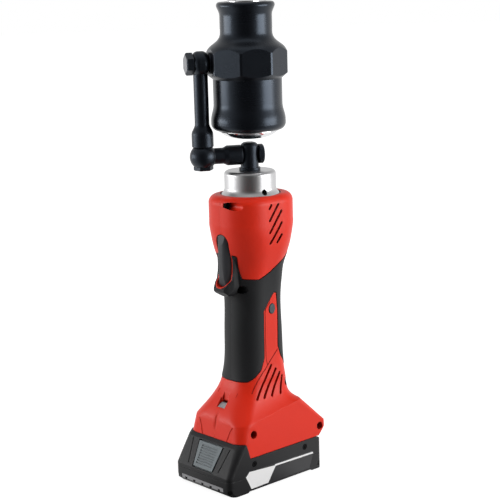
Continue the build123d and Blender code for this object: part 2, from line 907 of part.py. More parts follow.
def gear_outline(teeth, root, tip, first_tooth):
    """Points of a gear with slim flat-sided teeth, one of them at the angle first_tooth."""
    root_half = tooth_root_half * gear_module
    tip_half = tooth_tip_half * gear_module
    points = []
    for k in range(teeth):
        middle = math.radians(first_tooth + 360 / teeth * k)
        for radius, half in ((root, -root_half), (tip, -tip_half), (tip, tip_half), (root, root_half)):
            turn = middle + math.asin(half / radius)
            points.append((radius * math.cos(turn), radius * math.sin(turn)))
    return points


def spur_gear(teeth, bore, centre, first_tooth):
    """A straight gear that stands on the gear train's floor."""
    pitch_radius = gear_module * teeth / 2
    outline = gear_outline(
        teeth, pitch_radius - tooth_root * gear_module, pitch_radius + tooth_tip * gear_module, first_tooth
    )
    with BuildPart() as piece:
        with BuildSketch(Plane((centre[0], centre[1], sun_bottom_z))):
            with BuildLine():
                Polyline(*outline, close=True)
            make_face()
            Circle(bore, mode=Mode.SUBTRACT)
        extrude(amount=gear_width)
    return piece.part


keep(spur_gear(sun_teeth, shaft_radius, (0, 0), 0), "sun_pinion")
planet_spots = []
for number in range(1, planet_count + 1):
    angle = 360 / planet_count * (number - 1)
    spot = (planet_orbit * math.cos(math.radians(angle)), planet_orbit * math.sin(math.radians(angle)))
    planet_spots.append(spot)
    mesh_angle = angle + 180 + 180 / planet_teeth
    keep(spur_gear(planet_teeth, planet_pin_radius + running_gap, spot, mesh_angle), f"planet_gear_{number}")

ring_pitch = gear_module * ring_teeth / 2
ring_outline = gear_outline(
    ring_teeth, ring_pitch + tooth_root * gear_module, ring_pitch - tooth_tip * gear_module, 0
)
carrier_z = sun_bottom_z + gear_width + seam_gap
cup_radius = carrier_radius + 2 * seam_gap
with BuildPart() as ring_gear:
    with BuildSketch(Plane.XY.offset(gear_bottom_z)):
        Circle(motor_radius)
        with BuildLine():
            Polyline(*ring_outline, close=True)
        make_face(mode=Mode.SUBTRACT)
    extrude(amount=carrier_z - gear_bottom_z - seam_gap)
    add(ring(carrier_z - seam_gap, gear_case_top_z - carrier_z + seam_gap, motor_radius, cup_radius))
keep(ring_gear.part, "ring_gear")
with BuildPart() as planet_carrier:
    add(rod(Plane.XY.offset(carrier_z), carrier_radius, carrier_thickness))
    for spot in planet_spots:
        add(rod(Plane((spot[0], spot[1], sun_bottom_z)), planet_pin_radius, carrier_z - sun_bottom_z))
    add(rod(Plane.XY.offset(carrier_z), drive_shaft_radius, eccentric_z + eccentric_height - carrier_z))
    add(rod(Plane((eccentric_offset, 0, eccentric_z)), eccentric_radius, eccentric_height))
keep(planet_carrier.part, "planet_carrier")
carrier_bearing = ring(
    gear_case_top_z - bearing_height, bearing_height, cup_radius, drive_shaft_radius + running_gap
)
keep(carrier_bearing, "carrier_bearing")

# Pump block under the nose
flange_radius = opening_radius - seam_gap
plunger_start = eccentric_radius + eccentric_offset + seam_gap
plunger_plane = Plane((0, plunger_start, plunger_z), x_dir=(1, 0, 0), z_dir=(0, 1, 0))
pump_outline = (
    (pump_chamber_radius, pump_skirt_z),
    (pump_skirt_radius, pump_skirt_z),
    (pump_skirt_radius, pump_shoulder_z),
    (pump_radius, pump_shoulder_z),
    (pump_radius, pump_flange_z),
    (flange_radius, pump_flange_z),
    (flange_radius, pump_top_z),
    (0, pump_top_z),
    (0, pump_chamber_top_z),
    (pump_chamber_radius, pump_chamber_top_z),
)
with BuildPart() as pump_body:
    add(turned(Plane.XZ, Axis.Z, pump_outline))
    add(rod(plunger_plane, plunger_radius + running_gap, reach_far), mode=Mode.SUBTRACT)
    add(rod(Plane.XY.offset(pump_shoulder_z), oil_radius, reach_far), mode=Mode.SUBTRACT)
keep(pump_body.part, "pump_body")
keep(rod(plunger_plane, plunger_radius, pump_skirt_radius - plunger_start - plunger_sink), "pump_plunger")
with BuildPart() as relief_valve:
    with BuildSketch(Plane((0, pump_skirt_radius + seam_gap + valve_radius, pump_shoulder_z))):
        RegularPolygon(valve_radius, 6)
    extrude(amount=-valve_length)
keep(relief_valve.part, "relief_valve")
oil_bladder = ring(
    bladder_bottom_z,
    bladder_top_z - bladder_bottom_z,
    pump_radius + bladder_thickness,
    pump_radius + running_gap,
)
keep(oil_bladder, "oil_bladder")

# Nose collar that carries the swivel
spigot_bottom_z = collar_top_z - spigot_length
clip_z = spigot_bottom_z + clip_lift
clip_room_z = clip_z + clip_height + running_gap
collar_bore = spigot_radius + running_gap
collar_flange_z = rim_lip_z - seam_gap
with BuildPart() as collar_turned:
    with BuildSketch(Plane.XZ) as collar_half:
        with BuildLine():
            Polyline(
                (collar_flare_radius, collar_base_z),
                (collar_flare_radius, collar_flange_z),
                (flange_radius, collar_flange_z),
                (flange_radius, pump_top_z),
                (clip_chamber_radius, pump_top_z),
                (clip_chamber_radius, clip_room_z),
                (collar_bore, clip_room_z),
                (collar_bore, collar_top_z),
                (collar_radius, collar_top_z),
                (collar_radius, collar_flare_z),
            )
            Spline(
                (collar_radius, collar_flare_z),
                (collar_flare_radius, collar_base_z),
                tangents=((0, -1), (collar_flare_radius - collar_radius, collar_base_z - collar_flare_z)),
            )
        make_face()
        top_corner = collar_half.vertices().filter_by(lambda v: v.X > spigot_radius + 1).sort_by(Axis.Y)[-1]
        fillet(top_corner, collar_edge)
    revolve(axis=Axis.Z)
screw_turn = math.radians(set_screw_angle)
screw_dir = (math.cos(screw_turn), math.sin(screw_turn), 0)
screw_tip = collar_radius - set_screw_sink - set_screw_length
set_screw_plane = Plane(
    (screw_tip * screw_dir[0], screw_tip * screw_dir[1], set_screw_z), x_dir=(0, 0, 1), z_dir=screw_dir
)
with BuildPart() as nose_collar:
    add(collar_turned.part)
    add(rod(set_screw_plane, set_screw_radius, reach_far), mode=Mode.SUBTRACT)
keep(nose_collar.part, "nose_collar")
with BuildPart() as collar_set_screw:
    add(rod(set_screw_plane, set_screw_radius, set_screw_length))
    with BuildSketch(set_screw_plane.offset(set_screw_length)):
        RegularPolygon(set_screw_radius / 2, 6)
    extrude(amount=-set_screw_length / 3, mode=Mode.SUBTRACT)
keep(collar_set_screw.part, "collar_set_screw")

# Swivel post, standing in the nose collar
foot_z = collar_top_z + running_gap
seal_z = (clip_room_z + collar_top_z) / 2
seal_inner = spigot_radius - 2 * seal_section
with BuildPart() as swivel_post:
    add(rod(Plane.XY.offset(foot_z), post_radius, post_top_z - foot_z))
    fillet(swivel_post.faces().sort_by(Axis.Z)[-1].edges(), post_round)
    for side in (-1, 1):
        with BuildSketch(reach_face(side * (post_flat + post_radius), arm_z)):
            Circle(arm_collar_radius + seam_gap)
        extrude(amount=post_radius, both=True, mode=Mode.SUBTRACT)
    add(rod(Plane.XY.offset(foot_z), post_foot_radius, post_foot_height))
    add(rod(Plane.XY.offset(spigot_bottom_z), spigot_radius, foot_z - spigot_bottom_z))
    add(ring(clip_z, clip_height, spigot_radius, spigot_radius - clip_depth), mode=Mode.SUBTRACT)
    add(ring(seal_z, 2 * seal_section, spigot_radius, seal_inner), mode=Mode.SUBTRACT)
    add(rod(reach_face(-reach_far, arm_z), bolt_radius + running_gap, 2 * reach_far), mode=Mode.SUBTRACT)
    add(rod(Plane.XY.offset(spigot_bottom_z), oil_radius, arm_z - spigot_bottom_z), mode=Mode.SUBTRACT)
keep(swivel_post.part, "swivel_post")
keep(ring(clip_z, clip_height, spigot_radius + clip_depth, spigot_radius - clip_depth), "post_clip")
keep(ring(seal_z, 2 * seal_section, spigot_radius, seal_inner), "post_seal")

# Cross arm with its knuckle, and the bolt that hangs it on the post
arm_start = post_flat + running_gap
collar_end = arm_start + arm_collar_length
arm_outline = (
    (arm_start, arm_z),
    (arm_start, arm_z + arm_collar_radius - arm_edge),
    (arm_start + arm_edge, arm_z + arm_collar_radius),
    (collar_end, arm_z + arm_collar_radius),
    (collar_end + arm_edge, arm_z + arm_collar_radius - arm_edge / 2),
    (collar_end + arm_blend - arm_edge, arm_z + arm_radius + arm_edge / 4),
    (collar_end + arm_blend, arm_z + arm_radius),
    (arm_reach, arm_z + arm_radius),
    (arm_reach, arm_z),
)
knuckle_edge = math.sqrt(knuckle_radius**2 - knuckle_half_height**2)
knuckle_foot = Plane((riser_axis.position.X, riser_axis.position.Y, knuckle_bottom_z))
with BuildPart() as cross_arm:
    add(turned(arm_plane, arm_axis, arm_outline))
    with BuildSketch(arm_plane):
        with BuildLine():
            Polyline(
                (arm_reach + knuckle_edge, knuckle_bottom_z),
                (arm_reach, knuckle_bottom_z),
                (arm_reach, knuckle_top_z),
                (arm_reach + knuckle_edge, knuckle_top_z),
            )
            ThreePointArc(
                (arm_reach + knuckle_edge, knuckle_top_z),
                (arm_reach + knuckle_radius, arm_z),
                (arm_reach + knuckle_edge, knuckle_bottom_z),
            )
        make_face()
    revolve(axis=riser_axis)
    add(rod(reach_face(arm_start, arm_z), bolt_radius, bolt_grip), mode=Mode.SUBTRACT)
    add(rod(knuckle_foot, bolt_radius + running_gap, reach_far), mode=Mode.SUBTRACT)
keep(cross_arm.part, "cross_arm")
disc_start = -arm_start - disc_head_height
with BuildPart() as cross_arm_bolt:
    add(rod(reach_face(disc_start, arm_z), disc_head_radius, disc_head_height))
    chamfer(cross_arm_bolt.edges(), arm_edge)
    add(rod(reach_face(-arm_start, arm_z), bolt_radius, 2 * arm_start + bolt_grip))
    with BuildSketch(reach_face(disc_start, arm_z)):
        RegularPolygon(bolt_radius, 6)
    extrude(amount=disc_head_height / 2, mode=Mode.SUBTRACT)
keep(cross_arm_bolt.part, "cross_arm_bolt")

# Riser arm, with the eye that carries the head
riser_foot_z = knuckle_top_z + running_gap
riser_foot = Plane((riser_axis.position.X, riser_axis.position.Y, riser_foot_z))
cone_z = riser_foot_z + rod_collar_height
with BuildPart() as riser_turned:
    with BuildSketch(arm_plane):
        with BuildLine():
            Polyline(
                (arm_reach + rod_radius, cone_z + rod_cone_height),
                (arm_reach + rod_radius, head_pivot_z),
                (arm_reach, head_pivot_z),
                (arm_reach, riser_foot_z),
                (arm_reach + rod_collar_radius - arm_edge, riser_foot_z),
                (arm_reach + rod_collar_radius, riser_foot_z + arm_edge),
                (arm_reach + rod_collar_radius, cone_z),
            )
            Spline(
                (arm_reach + rod_collar_radius, cone_z),
                (arm_reach + rod_radius, cone_z + rod_cone_height),
                tangents=((0, 1), (0, 1)),
            )
        make_face()
    revolve(axis=riser_axis)
with BuildPart() as eye:
    with BuildSketch(arm_plane) as eye_half:
        with BuildLine():
            Polyline(
                (arm_reach - eye_half_width, head_pivot_z),
                (arm_reach - eye_half_width, head_pivot_z + eye_radius),
                (arm_reach + eye_half_width, head_pivot_z + eye_radius),
                (arm_reach + eye_half_width, head_pivot_z),
                close=True,
            )
        make_face()
        fillet(eye_half.vertices().group_by(Axis.Y)[-1], eye_round)
    revolve(axis=head_axis)
with BuildPart() as riser_arm:
    add(riser_turned.part)
    add(eye.part)
    add(rod(riser_foot, bolt_radius, bolt_grip), mode=Mode.SUBTRACT)
    add(rod(riser_foot, oil_radius, head_pivot_z - riser_foot_z), mode=Mode.SUBTRACT)
    add(rod(reach_face(0, head_pivot_z), banjo_radius + running_gap, reach_far), mode=Mode.SUBTRACT)
keep(riser_arm.part, "riser_arm")
bolt_top_z = knuckle_bottom_z - running_gap
bolt_plane = Plane((riser_axis.position.X, riser_axis.position.Y, bolt_top_z))
with BuildPart() as riser_bolt:
    with BuildSketch(bolt_plane):
        RegularPolygon(bolt_flats / 2, 6, major_radius=False)
    extrude(amount=-bolt_head_height)
    chamfer(riser_bolt.faces().sort_by(Axis.Z)[0].edges(), arm_edge)
    add(rod(bolt_plane, bolt_radius, riser_foot_z + bolt_grip - bolt_top_z))
keep(riser_bolt.part, "riser_bolt")

# Draw head: a turned body with an eight-sided waist
round_share = math.sqrt(0.5)
with BuildPart() as head_turned:
    with BuildSketch(Plane.XZ) as head_half:
        with BuildLine():
            Polyline((0, head_top_z), (0, bowl_edge_z), (bowl_edge_radius, bowl_edge_z))
            ThreePointArc(
                (bowl_edge_radius, bowl_edge_z),
                (
                    bowl_edge_radius + (bowl_radius - bowl_edge_radius) * round_share,
                    bowl_side_z - (bowl_side_z - bowl_edge_z) * round_share,
                ),
                (bowl_radius, bowl_side_z),
            )
            Line((bowl_radius, bowl_side_z), (bowl_radius, bowl_top_z))
            Spline(
                (bowl_radius, bowl_top_z), (barrel_radius, barrel_bottom_z), tangents=((0, 1), (0, 1))
            )
            Polyline(
                (barrel_radius, barrel_bottom_z),
                (barrel_radius, barrel_top_z),
                (octagon_corner, octagon_bottom_z),
                (octagon_corner, octagon_top_z),
                (shoulder_radius, shoulder_z),
            )
            Spline(
                (shoulder_radius, shoulder_z),
                (neck_radius, neck_z),
                tangents=((shoulder_radius - octagon_corner, shoulder_z - octagon_top_z), (0, 1)),
            )
            Line((neck_radius, neck_z), (neck_radius, lip_start_z))
            Spline(
                (neck_radius, lip_start_z),
                (lip_radius, lip_z),
                tangents=((0, 1), (lip_radius - neck_radius, lip_z - lip_start_z)),
            )
            Polyline((lip_radius, lip_z), (lip_radius, head_top_z), (0, head_top_z))
        make_face()
        lip_corner = head_half.vertices().filter_by(lambda v: v.Y > head_top_z - 1 and v.X > neck_radius)
        fillet(lip_corner, lip_round)
    revolve(axis=Axis.Z)
    with BuildSketch(Plane.XY.offset(bowl_edge_z)):
        RegularPolygon(octagon_apothem, 8, major_radius=False, rotation=reach_angle - 22.5)
    extrude(amount=head_top_z - bowl_edge_z, mode=Mode.INTERSECT)
banjo_start = octagon_apothem - banjo_grip
wiper_z = head_top_z - wiper_sink - wiper_height
bush_z = wiper_z - bush_height
oil_way = Plane((oil_offset * reach_x, oil_offset * reach_y, bore_top_z))
with BuildPart() as head_cylinder:
    add(head_turned.part)
    add(rod(Plane.XY.offset(bowl_edge_z), bore_radius, bore_top_z - bowl_edge_z), mode=Mode.SUBTRACT)
    add(rod(Plane.XY.offset(bowl_edge_z), cap_radius, cap_depth), mode=Mode.SUBTRACT)
    add(rod(Plane.XY.offset(bore_top_z), piston_rod_radius + running_gap, reach_far), mode=Mode.SUBTRACT)
    add(rod(Plane.XY.offset(bush_z), bush_radius, reach_far), mode=Mode.SUBTRACT)
    add(rod(reach_face(banjo_start, head_pivot_z), banjo_radius, reach_far), mode=Mode.SUBTRACT)
    add(rod(oil_way, oil_radius, head_pivot_z - bore_top_z), mode=Mode.SUBTRACT)
    add(rod(reach_face(oil_offset, head_pivot_z), oil_radius, banjo_grip), mode=Mode.SUBTRACT)
keep(head_cylinder.part, "head_cylinder")
bolt_face = arm_reach + eye_half_width + running_gap
with BuildPart() as upper_bolt:
    with BuildSketch(reach_face(bolt_face, head_pivot_z)):
        RegularPolygon(banjo_flats / 2, 6, major_radius=False)
    extrude(amount=banjo_head_height)
    chamfer(upper_bolt.faces().sort_by(head_axis)[-1].edges(), banjo_chamfer)
    add(rod(reach_face(banjo_start, head_pivot_z), banjo_radius, bolt_face - banjo_start))
keep(upper_bolt.part, "upper_bolt")
with BuildPart() as upper_seal:
    with BuildSketch(reach_face(octagon_apothem, head_pivot_z)):
        Circle(gasket_radius)
        Circle(banjo_radius + running_gap, mode=Mode.SUBTRACT)
    extrude(amount=arm_reach - eye_half_width - octagon_apothem - running_gap)
keep(upper_seal.part, "upper_seal")
cap_top_z = bowl_edge_z + cap_depth
cap_groove_z = bowl_edge_z + (cap_depth - 2 * seal_section) / 2
cap_groove_radius = cap_radius - 2 * seal_section
cap_rim_z = bowl_edge_z - cap_flange_height
with BuildPart() as bottom_cap:
    with BuildSketch(Plane.XZ):
        with BuildLine():
            Polyline(
                (cap_face_radius, cap_face_z),
                (0, cap_face_z),
                (0, cap_top_z),
                (cap_radius, cap_top_z),
                (cap_radius, bowl_edge_z),
                (cap_flange_radius, bowl_edge_z),
                (cap_flange_radius, cap_rim_z),
            )
            Spline(
                (cap_flange_radius, cap_rim_z),
                (cap_face_radius, cap_face_z),
                tangents=((-cap_depth, -cap_depth), (-1, 0)),
            )
        make_face()
    revolve(axis=Axis.Z)
    add(ring(cap_groove_z, 2 * seal_section, cap_radius, cap_groove_radius), mode=Mode.SUBTRACT)
keep(bottom_cap.part, "bottom_cap")
keep(ring(cap_groove_z, 2 * seal_section, cap_radius, cap_groove_radius), "cap_seal")

# Piston that draws down, its seals, and the spring that lifts it
rod_top_z = head_top_z + rod_proud
piston_radius = bore_radius - running_gap
groove_z = piston_bottom_z + piston_height / 2 - ring_groove
groove_radius = piston_radius - 2 * ring_groove
with BuildPart() as draw_piston:
    add(rod(Plane.XY.offset(piston_bottom_z), piston_radius, piston_height))
    add(rod(Plane.XY.offset(piston_bottom_z), piston_rod_radius, rod_top_z - piston_bottom_z))
    chamfer(draw_piston.faces().sort_by(Axis.Z)[-1].edges(), rod_chamfer)
    add(rod(Plane.XY.offset(rod_top_z - socket_depth), socket_radius, reach_far), mode=Mode.SUBTRACT)
    pocket = spring_pocket_top_z - piston_bottom_z
    add(rod(Plane.XY.offset(piston_bottom_z), spring_pocket_radius, pocket), mode=Mode.SUBTRACT)
    add(ring(groove_z, 2 * ring_groove, piston_radius, groove_radius), mode=Mode.SUBTRACT)
keep(draw_piston.part, "draw_piston")
keep(ring(groove_z, 2 * ring_groove, piston_radius, groove_radius), "piston_seal")
rod_bore = piston_rod_radius + running_gap
keep(ring(bush_z, bush_height, bush_radius, rod_bore), "guide_bush")
keep(ring(wiper_z, wiper_height, bush_radius, rod_bore), "rod_wiper")
return_spring = ring(
    cap_top_z, spring_pocket_top_z - cap_top_z, spring_outer_radius, spring_outer_radius - spring_wire
)
keep(return_spring, "return_spring")

# Battery pack, drawn as a tray and a cover
release_plane = Plane(
    (0, -(pack_front + face_top_y) / 2, (face_bottom_z + face_top_z) / 2),
    x_dir=(1, 0, 0),
    z_dir=(0, -face_rise, face_run),
)


def pack_level(z, front, corner, inset):
    """A level section of the pack with rounded corners, drawn in by the inset."""
    with BuildSketch(Plane.XY.offset(z)) as level:
        with Locations((0, (pack_back - front) / 2)):
            Rectangle(2 * (pack_half_width - inset), pack_back + front - 2 * inset)
        fillet(level.vertices().group_by(Axis.Y)[0], corner - inset)
        fillet(level.vertices().group_by(Axis.Y)[-1], pack_corner - inset)
    return level.sketch


def cover_form(inset):
    """The pack's upper half, from the split up to its nose and its lower deck, drawn in by the inset."""
    levels = (
        (pack_split_z, pack_front, pack_corner),
        (face_bottom_z, pack_front, pack_corner),
        (face_top_z, face_top_y, pack_nose_corner),
        (pack_nose_z - inset, pack_nose_y + inset, pack_nose_corner),
    )
    step_y = -pack_step_y - inset
    above_deck = (
        (reach_far, pack_top_z - inset),
        (step_y, pack_top_z - inset),
        (step_y - pack_step_run, pack_nose_z - inset),
        (step_y - pack_step_run, reach_far),
        (reach_far, reach_far),
    )
    with BuildPart() as piece:
        loft([pack_level(*level, inset) for level in levels], ruled=True)
        add(prism(Plane.YZ, above_deck, reach_far, both=True), mode=Mode.SUBTRACT)
        with BuildSketch(Plane.YZ):
            with Locations((pack_back - pack_heel_round, pack_top_z - pack_heel_round)):
                Rectangle(2 * pack_heel_round, 2 * pack_heel_round, align=(Align.MIN, Align.MIN))
                Circle(pack_heel_round - inset, mode=Mode.SUBTRACT)
        extrude(amount=reach_far, both=True, mode=Mode.SUBTRACT)
    return piece.part


def release_outline(grow, grow_length):
    """The release button's outline on the pack's slanted face, grown in width and in length."""
    half_length = face_length / 2 - release_margin + grow_length
    low = release_half_bottom + grow
    high = release_half_top + grow
    return ((-low, -half_length), (low, -half_length), (high, half_length), (-high, half_length))


def label_plates(side):
    """The thin label of one side of the pack."""
    return prism(side_face(side * pack_half_width, 0, 0), label_outline, -side * label_depth)


# The tray stands on a keel with a foot at each end, and a groove under its top edge marks the split
tray_levels = (
    (0, pack_front - pack_undercut, pack_corner, 0),
    (undercut_height, pack_front, pack_corner, 0),
    (pack_split_z - pack_groove, pack_front, pack_corner, 0),
)
between_feet = (
    (foot_front_y - foot_ramp, 0),
    (foot_front_y, foot_height),
    (foot_back_y, foot_height),
    (foot_back_y + foot_ramp, 0),
)
inner_half = pack_half_width - pack_wall
tray_room = block(
    (-inner_half, pack_undercut - pack_front, pack_wall), (inner_half, pack_back - pack_wall, pack_split_z)
)
corner_inset = pack_corner + (corner_hole_depth - pack_corner) * math.sqrt(0.5)
strip_low = (-strip_half_width, -pack_front, strip_z)
strip_high = (strip_half_width, strip_depth - pack_front, strip_z + strip_height)
with BuildPart() as battery_tray:
    loft([pack_level(*level) for level in tray_levels], ruled=True)
    extrude(pack_level(pack_split_z - pack_groove, pack_front, pack_corner, pack_groove), amount=pack_groove)
    add(tray_room, mode=Mode.SUBTRACT)
    add(block(strip_low, strip_high), mode=Mode.SUBTRACT)
    for side in (-1, 1):
        add(prism(side_face(side * keel_half_width, 0, 0), between_feet, side * reach_far), mode=Mode.SUBTRACT)
        add(label_plates(side), mode=Mode.SUBTRACT)
        rear_spot = side_face(side * (pack_half_width - pack_wall / 2), rear_hole_y, corner_hole_z)
        add(rod(rear_spot, corner_hole_radius, side * reach_far), mode=Mode.SUBTRACT)
        front_spot = Plane(
            (side * (pack_half_width - corner_inset), corner_inset - pack_front, corner_hole_z),
            x_dir=(0, 0, 1),
            z_dir=(side, -1, 0),
        )
        add(rod(front_spot, corner_hole_radius, reach_far), mode=Mode.SUBTRACT)
keep(battery_tray.part, "battery_tray")
strip_pitch = 2 * strip_half_width / strip_notch_count
with BuildPart() as front_strip:
    add(block(strip_low, strip_high))
    with BuildSketch(Plane.XZ.offset(pack_front)):
        for k in range(strip_notch_count):
            with Locations((strip_pitch * (k + 0.5) - strip_half_width, strip_z + strip_notch_height / 2)):
                Rectangle(strip_notch_width, strip_notch_height)
    extrude(amount=-strip_depth / 2, mode=Mode.SUBTRACT)
keep(front_strip.part, "front_strip")

screw_seat_x = pack_half_width - pack_screw_sink - pack_screw_head


def pack_screw_faces():
    """The seats of the screws in both sides of the cover, each facing outwards."""
    for y in pack_screw_ys:
        for side in (-1, 1):
            yield Plane((side * screw_seat_x, y, pack_screw_z), x_dir=(0, 1, 0), z_dir=(side, 0, 0))


ridge_lean = math.degrees(math.atan2(ridge_top_x - ridge_bottom_x, ridge_length))
with BuildPart() as battery_cover:
    add(cover_form(0))
    add(cover_form(pack_wall), mode=Mode.SUBTRACT)
    for side in (-1, 1):
        add(label_plates(side), mode=Mode.SUBTRACT)
    add(rail_form(0, rail_front_y, rail_back_y))
    with BuildSketch(release_plane):
        for side in (-1, 1):
            with Locations((side * (ridge_top_x + ridge_bottom_x) / 2, ridge_lift)):
                SlotCenterToCenter(ridge_length, ridge_width, rotation=90 - side * ridge_lean)
    extrude(amount=-ridge_depth, mode=Mode.SUBTRACT)
    for x in blade_xs:
        add(blade_form(x, slide_gap), mode=Mode.SUBTRACT)
    opening = release_outline(release_gap, release_gap)
    add(prism(release_plane.offset(1), opening, -2 * release_thickness), mode=Mode.SUBTRACT)
    for seat in pack_screw_faces():
        inner_face = seat.offset(inner_half - screw_seat_x)
        add(rod(inner_face, pack_boss_radius, -pack_boss_length))
        add(rod(seat, pack_screw_radius + seam_gap, reach_far), mode=Mode.SUBTRACT)
        add(rod(seat, pack_screw_shank, -pack_screw_length), mode=Mode.SUBTRACT)
keep(battery_cover.part, "battery_cover")
with BuildPart() as battery_screws:
    for seat in pack_screw_faces():
        add(rod(seat, pack_screw_radius, pack_screw_head))
        add(rod(seat, pack_screw_shank, -pack_screw_length))
        with BuildSketch(seat.offset(pack_screw_head)):
            RegularPolygon(pack_screw_radius / 2, 6)
        extrude(amount=-pack_screw_head / 2, mode=Mode.SUBTRACT)
keep(battery_screws.part, "battery_screws")
with BuildPart() as side_labels:
    for side in (-1, 1):
        add(label_plates(side))
keep(side_labels.part, "side_labels")

flange_drop = pack_wall * face_rise / face_length + seam_gap
rib_pitch = (face_length - 2 * release_margin - 2 * release_rib_margin) / release_rib_count
rib_half = release_half_bottom - release_rib_margin
catch_outline = release_outline(release_gap + release_catch, release_flange)
with BuildPart() as release_button:
    add(prism(release_plane.offset(release_proud), release_outline(0, 0), -release_thickness))
    add(prism(release_plane.offset(-flange_drop), catch_outline, -release_flange_height))
    with BuildSketch(release_plane.offset(release_proud)):
        for k in range(release_rib_count):
            with Locations((0, rib_pitch * (k + 0.5 - release_rib_count / 2))):
                Rectangle(2 * rib_half, rib_pitch / 2)
    extrude(amount=-release_rib_depth, mode=Mode.SUBTRACT)
keep(release_button.part, "release_button")

# Cells, the two plates that hold them, and the pack's board
cell_z = pack_wall + cell_lift + cell_radius
cell_ys = [cell_middle_y + cell_pitch * (k - (cell_count - 1) / 2) for k in range(cell_count)]
plate_front = cell_ys[0] - cell_radius - frame_end_margin
plate_back = cell_ys[-1] + cell_radius + frame_end_margin
plate_x = cell_length / 2 - frame_inset
with BuildPart() as battery_cells:
    for y in cell_ys:
        add(rod(side_face(-cell_length / 2, y, cell_z), cell_radius, cell_length))
keep(battery_cells.part, "battery_cells")
with BuildPart() as cell_frame:
    for side in (-1, 1):
        add(
            block(
                (side * plate_x - frame_thickness / 2, plate_front, pack_wall),
                (side * plate_x + frame_thickness / 2, plate_back, frame_top_z),
            )
        )
    for y in cell_ys:
        cell_bore = rod(side_face(-reach_far, y, cell_z), cell_radius + running_gap, 2 * reach_far)
        add(cell_bore, mode=Mode.SUBTRACT)
keep(cell_frame.part, "cell_frame")
battery_board = block(
    (-plate_x, plate_front + board_margin, frame_top_z),
    (plate_x, plate_back - board_margin, frame_top_z + board_thickness),
)
keep(battery_board, "battery_board")
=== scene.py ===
import json
import math

import bpy
from mathutils import Matrix, Vector


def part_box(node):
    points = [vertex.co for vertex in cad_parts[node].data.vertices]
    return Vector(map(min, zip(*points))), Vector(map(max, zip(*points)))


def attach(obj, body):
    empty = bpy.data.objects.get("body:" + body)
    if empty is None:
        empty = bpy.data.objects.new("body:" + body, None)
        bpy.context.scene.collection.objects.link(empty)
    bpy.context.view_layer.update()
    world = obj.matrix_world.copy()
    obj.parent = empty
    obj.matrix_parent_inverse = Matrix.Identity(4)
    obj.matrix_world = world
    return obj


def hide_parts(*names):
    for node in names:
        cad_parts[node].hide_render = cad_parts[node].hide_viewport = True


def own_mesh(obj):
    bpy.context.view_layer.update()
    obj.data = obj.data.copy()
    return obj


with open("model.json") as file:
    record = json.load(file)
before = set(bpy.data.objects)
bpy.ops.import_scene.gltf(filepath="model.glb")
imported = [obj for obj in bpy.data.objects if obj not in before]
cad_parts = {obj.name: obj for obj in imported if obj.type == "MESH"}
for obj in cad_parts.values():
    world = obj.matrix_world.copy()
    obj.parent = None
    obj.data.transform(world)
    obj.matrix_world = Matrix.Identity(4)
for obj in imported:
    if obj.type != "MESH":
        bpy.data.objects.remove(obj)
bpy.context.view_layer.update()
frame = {"nodes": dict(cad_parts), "record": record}
nodes = frame["nodes"]
mm = 0.001
print("frame loaded:", len(nodes), "nodes")


class Wire:  # a shader socket that takes part in sums, products and comparisons
    def __init__(self, tree, socket=None):
        self.tree = tree
        self.socket = socket

    def feed(self, made, sockets):  # sets or links a node's inputs
        for key, value in sockets.items():
            if isinstance(value, Wire):
                self.tree.links.new(value.socket, made.inputs[key])
            else:
                made.inputs[key].default_value = value

    def node(self, kind, settings=None, sockets=None, take=0):  # adds a node, gives one of its outputs
        made = self.tree.nodes.new("ShaderNode" + kind)
        for key, value in (settings or {}).items():
            setattr(made, key, value)
        self.feed(made, sockets or {})
        return Wire(self.tree, made.outputs[take])

    def math(self, operation, first, second):
        return self.node("Math", {"operation": operation}, {0: first, 1: second})

    def __add__(self, other):
        return self.math("ADD", self, other)

    def __sub__(self, other):
        return self.math("SUBTRACT", self, other)

    def __rsub__(self, other):
        return self.math("SUBTRACT", other, self)

    def __mul__(self, other):
        return self.math("MULTIPLY", self, other)

    def __truediv__(self, other):
        return self.math("DIVIDE", self, other)

    def __gt__(self, other):
        return self.math("GREATER_THAN", self, other)

    def __lt__(self, other):
        return self.math("LESS_THAN", self, other)

    __radd__ = __add__
    __rmul__ = __mul__


def newFinish(name):
    finish = bpy.data.materials.new(name)
    finish.use_nodes = True
    return finish, Wire(finish.node_tree), finish.node_tree.nodes["Principled BSDF"]


def place(wire):
    return wire.node("TexCoord", take="Object")


def sideView(wire):  # the y and the z of each point
    across = wire.node("SeparateXYZ", {}, {0: place(wire)}, take="Y")
    return across, Wire(wire.tree, across.socket.node.outputs["Z"])


def noise(wire, size, detail, stretch=None):  # size is the pattern's grain in metres
    where = place(wire)
    if stretch:
        where = wire.node("Mapping", {}, {"Vector": where, "Scale": stretch})
    return wire.node("TexNoise", {}, {"Vector": where, "Scale": 1 / size, "Detail": detail}, take="Fac")


def mix(wire, share, first, second):  # two colours, each a tone or a wire
    blend = {"Factor": share, "A": first, "B": second}
    return wire.node("Mix", {"data_type": "RGBA"}, blend, take="Result")


def clip(wire, value, low=0.0, high=1.0):
    return wire.node("Clamp", {}, {"Value": value, "Min": low, "Max": high})


def tone(red, green, blue):
    return (red, green, blue, 1.0)


# edge mask: edge wear, and a painted highlight along every convex and concave edge
edgeWearAndHighlight = {"samples": 4, "gain": 4}


def softEdge(wire, radius):  # normal rounded over each edge, and how near an edge a point is
    rounded = wire.node("Bevel", {"samples": edgeWearAndHighlight["samples"]}, {"Radius": radius}, take="Normal")
    flat = wire.node("NewGeometry", take="Normal")
    along = wire.node("VectorMath", {"operation": "DOT_PRODUCT"}, {0: rounded, 1: flat}, take="Value")
    return rounded, clip(wire, (1 - along) * edgeWearAndHighlight["gain"])


def bump(wire, height, depth, normal):
    return wire.node("Bump", {}, {"Strength": 1.0, "Distance": depth, "Height": height, "Normal": normal})


# painted shade: how strongly slots, recesses and junctions are darkened
paintedSlotShade = {"samples": 6, "gain": 2, "start": 0.7}


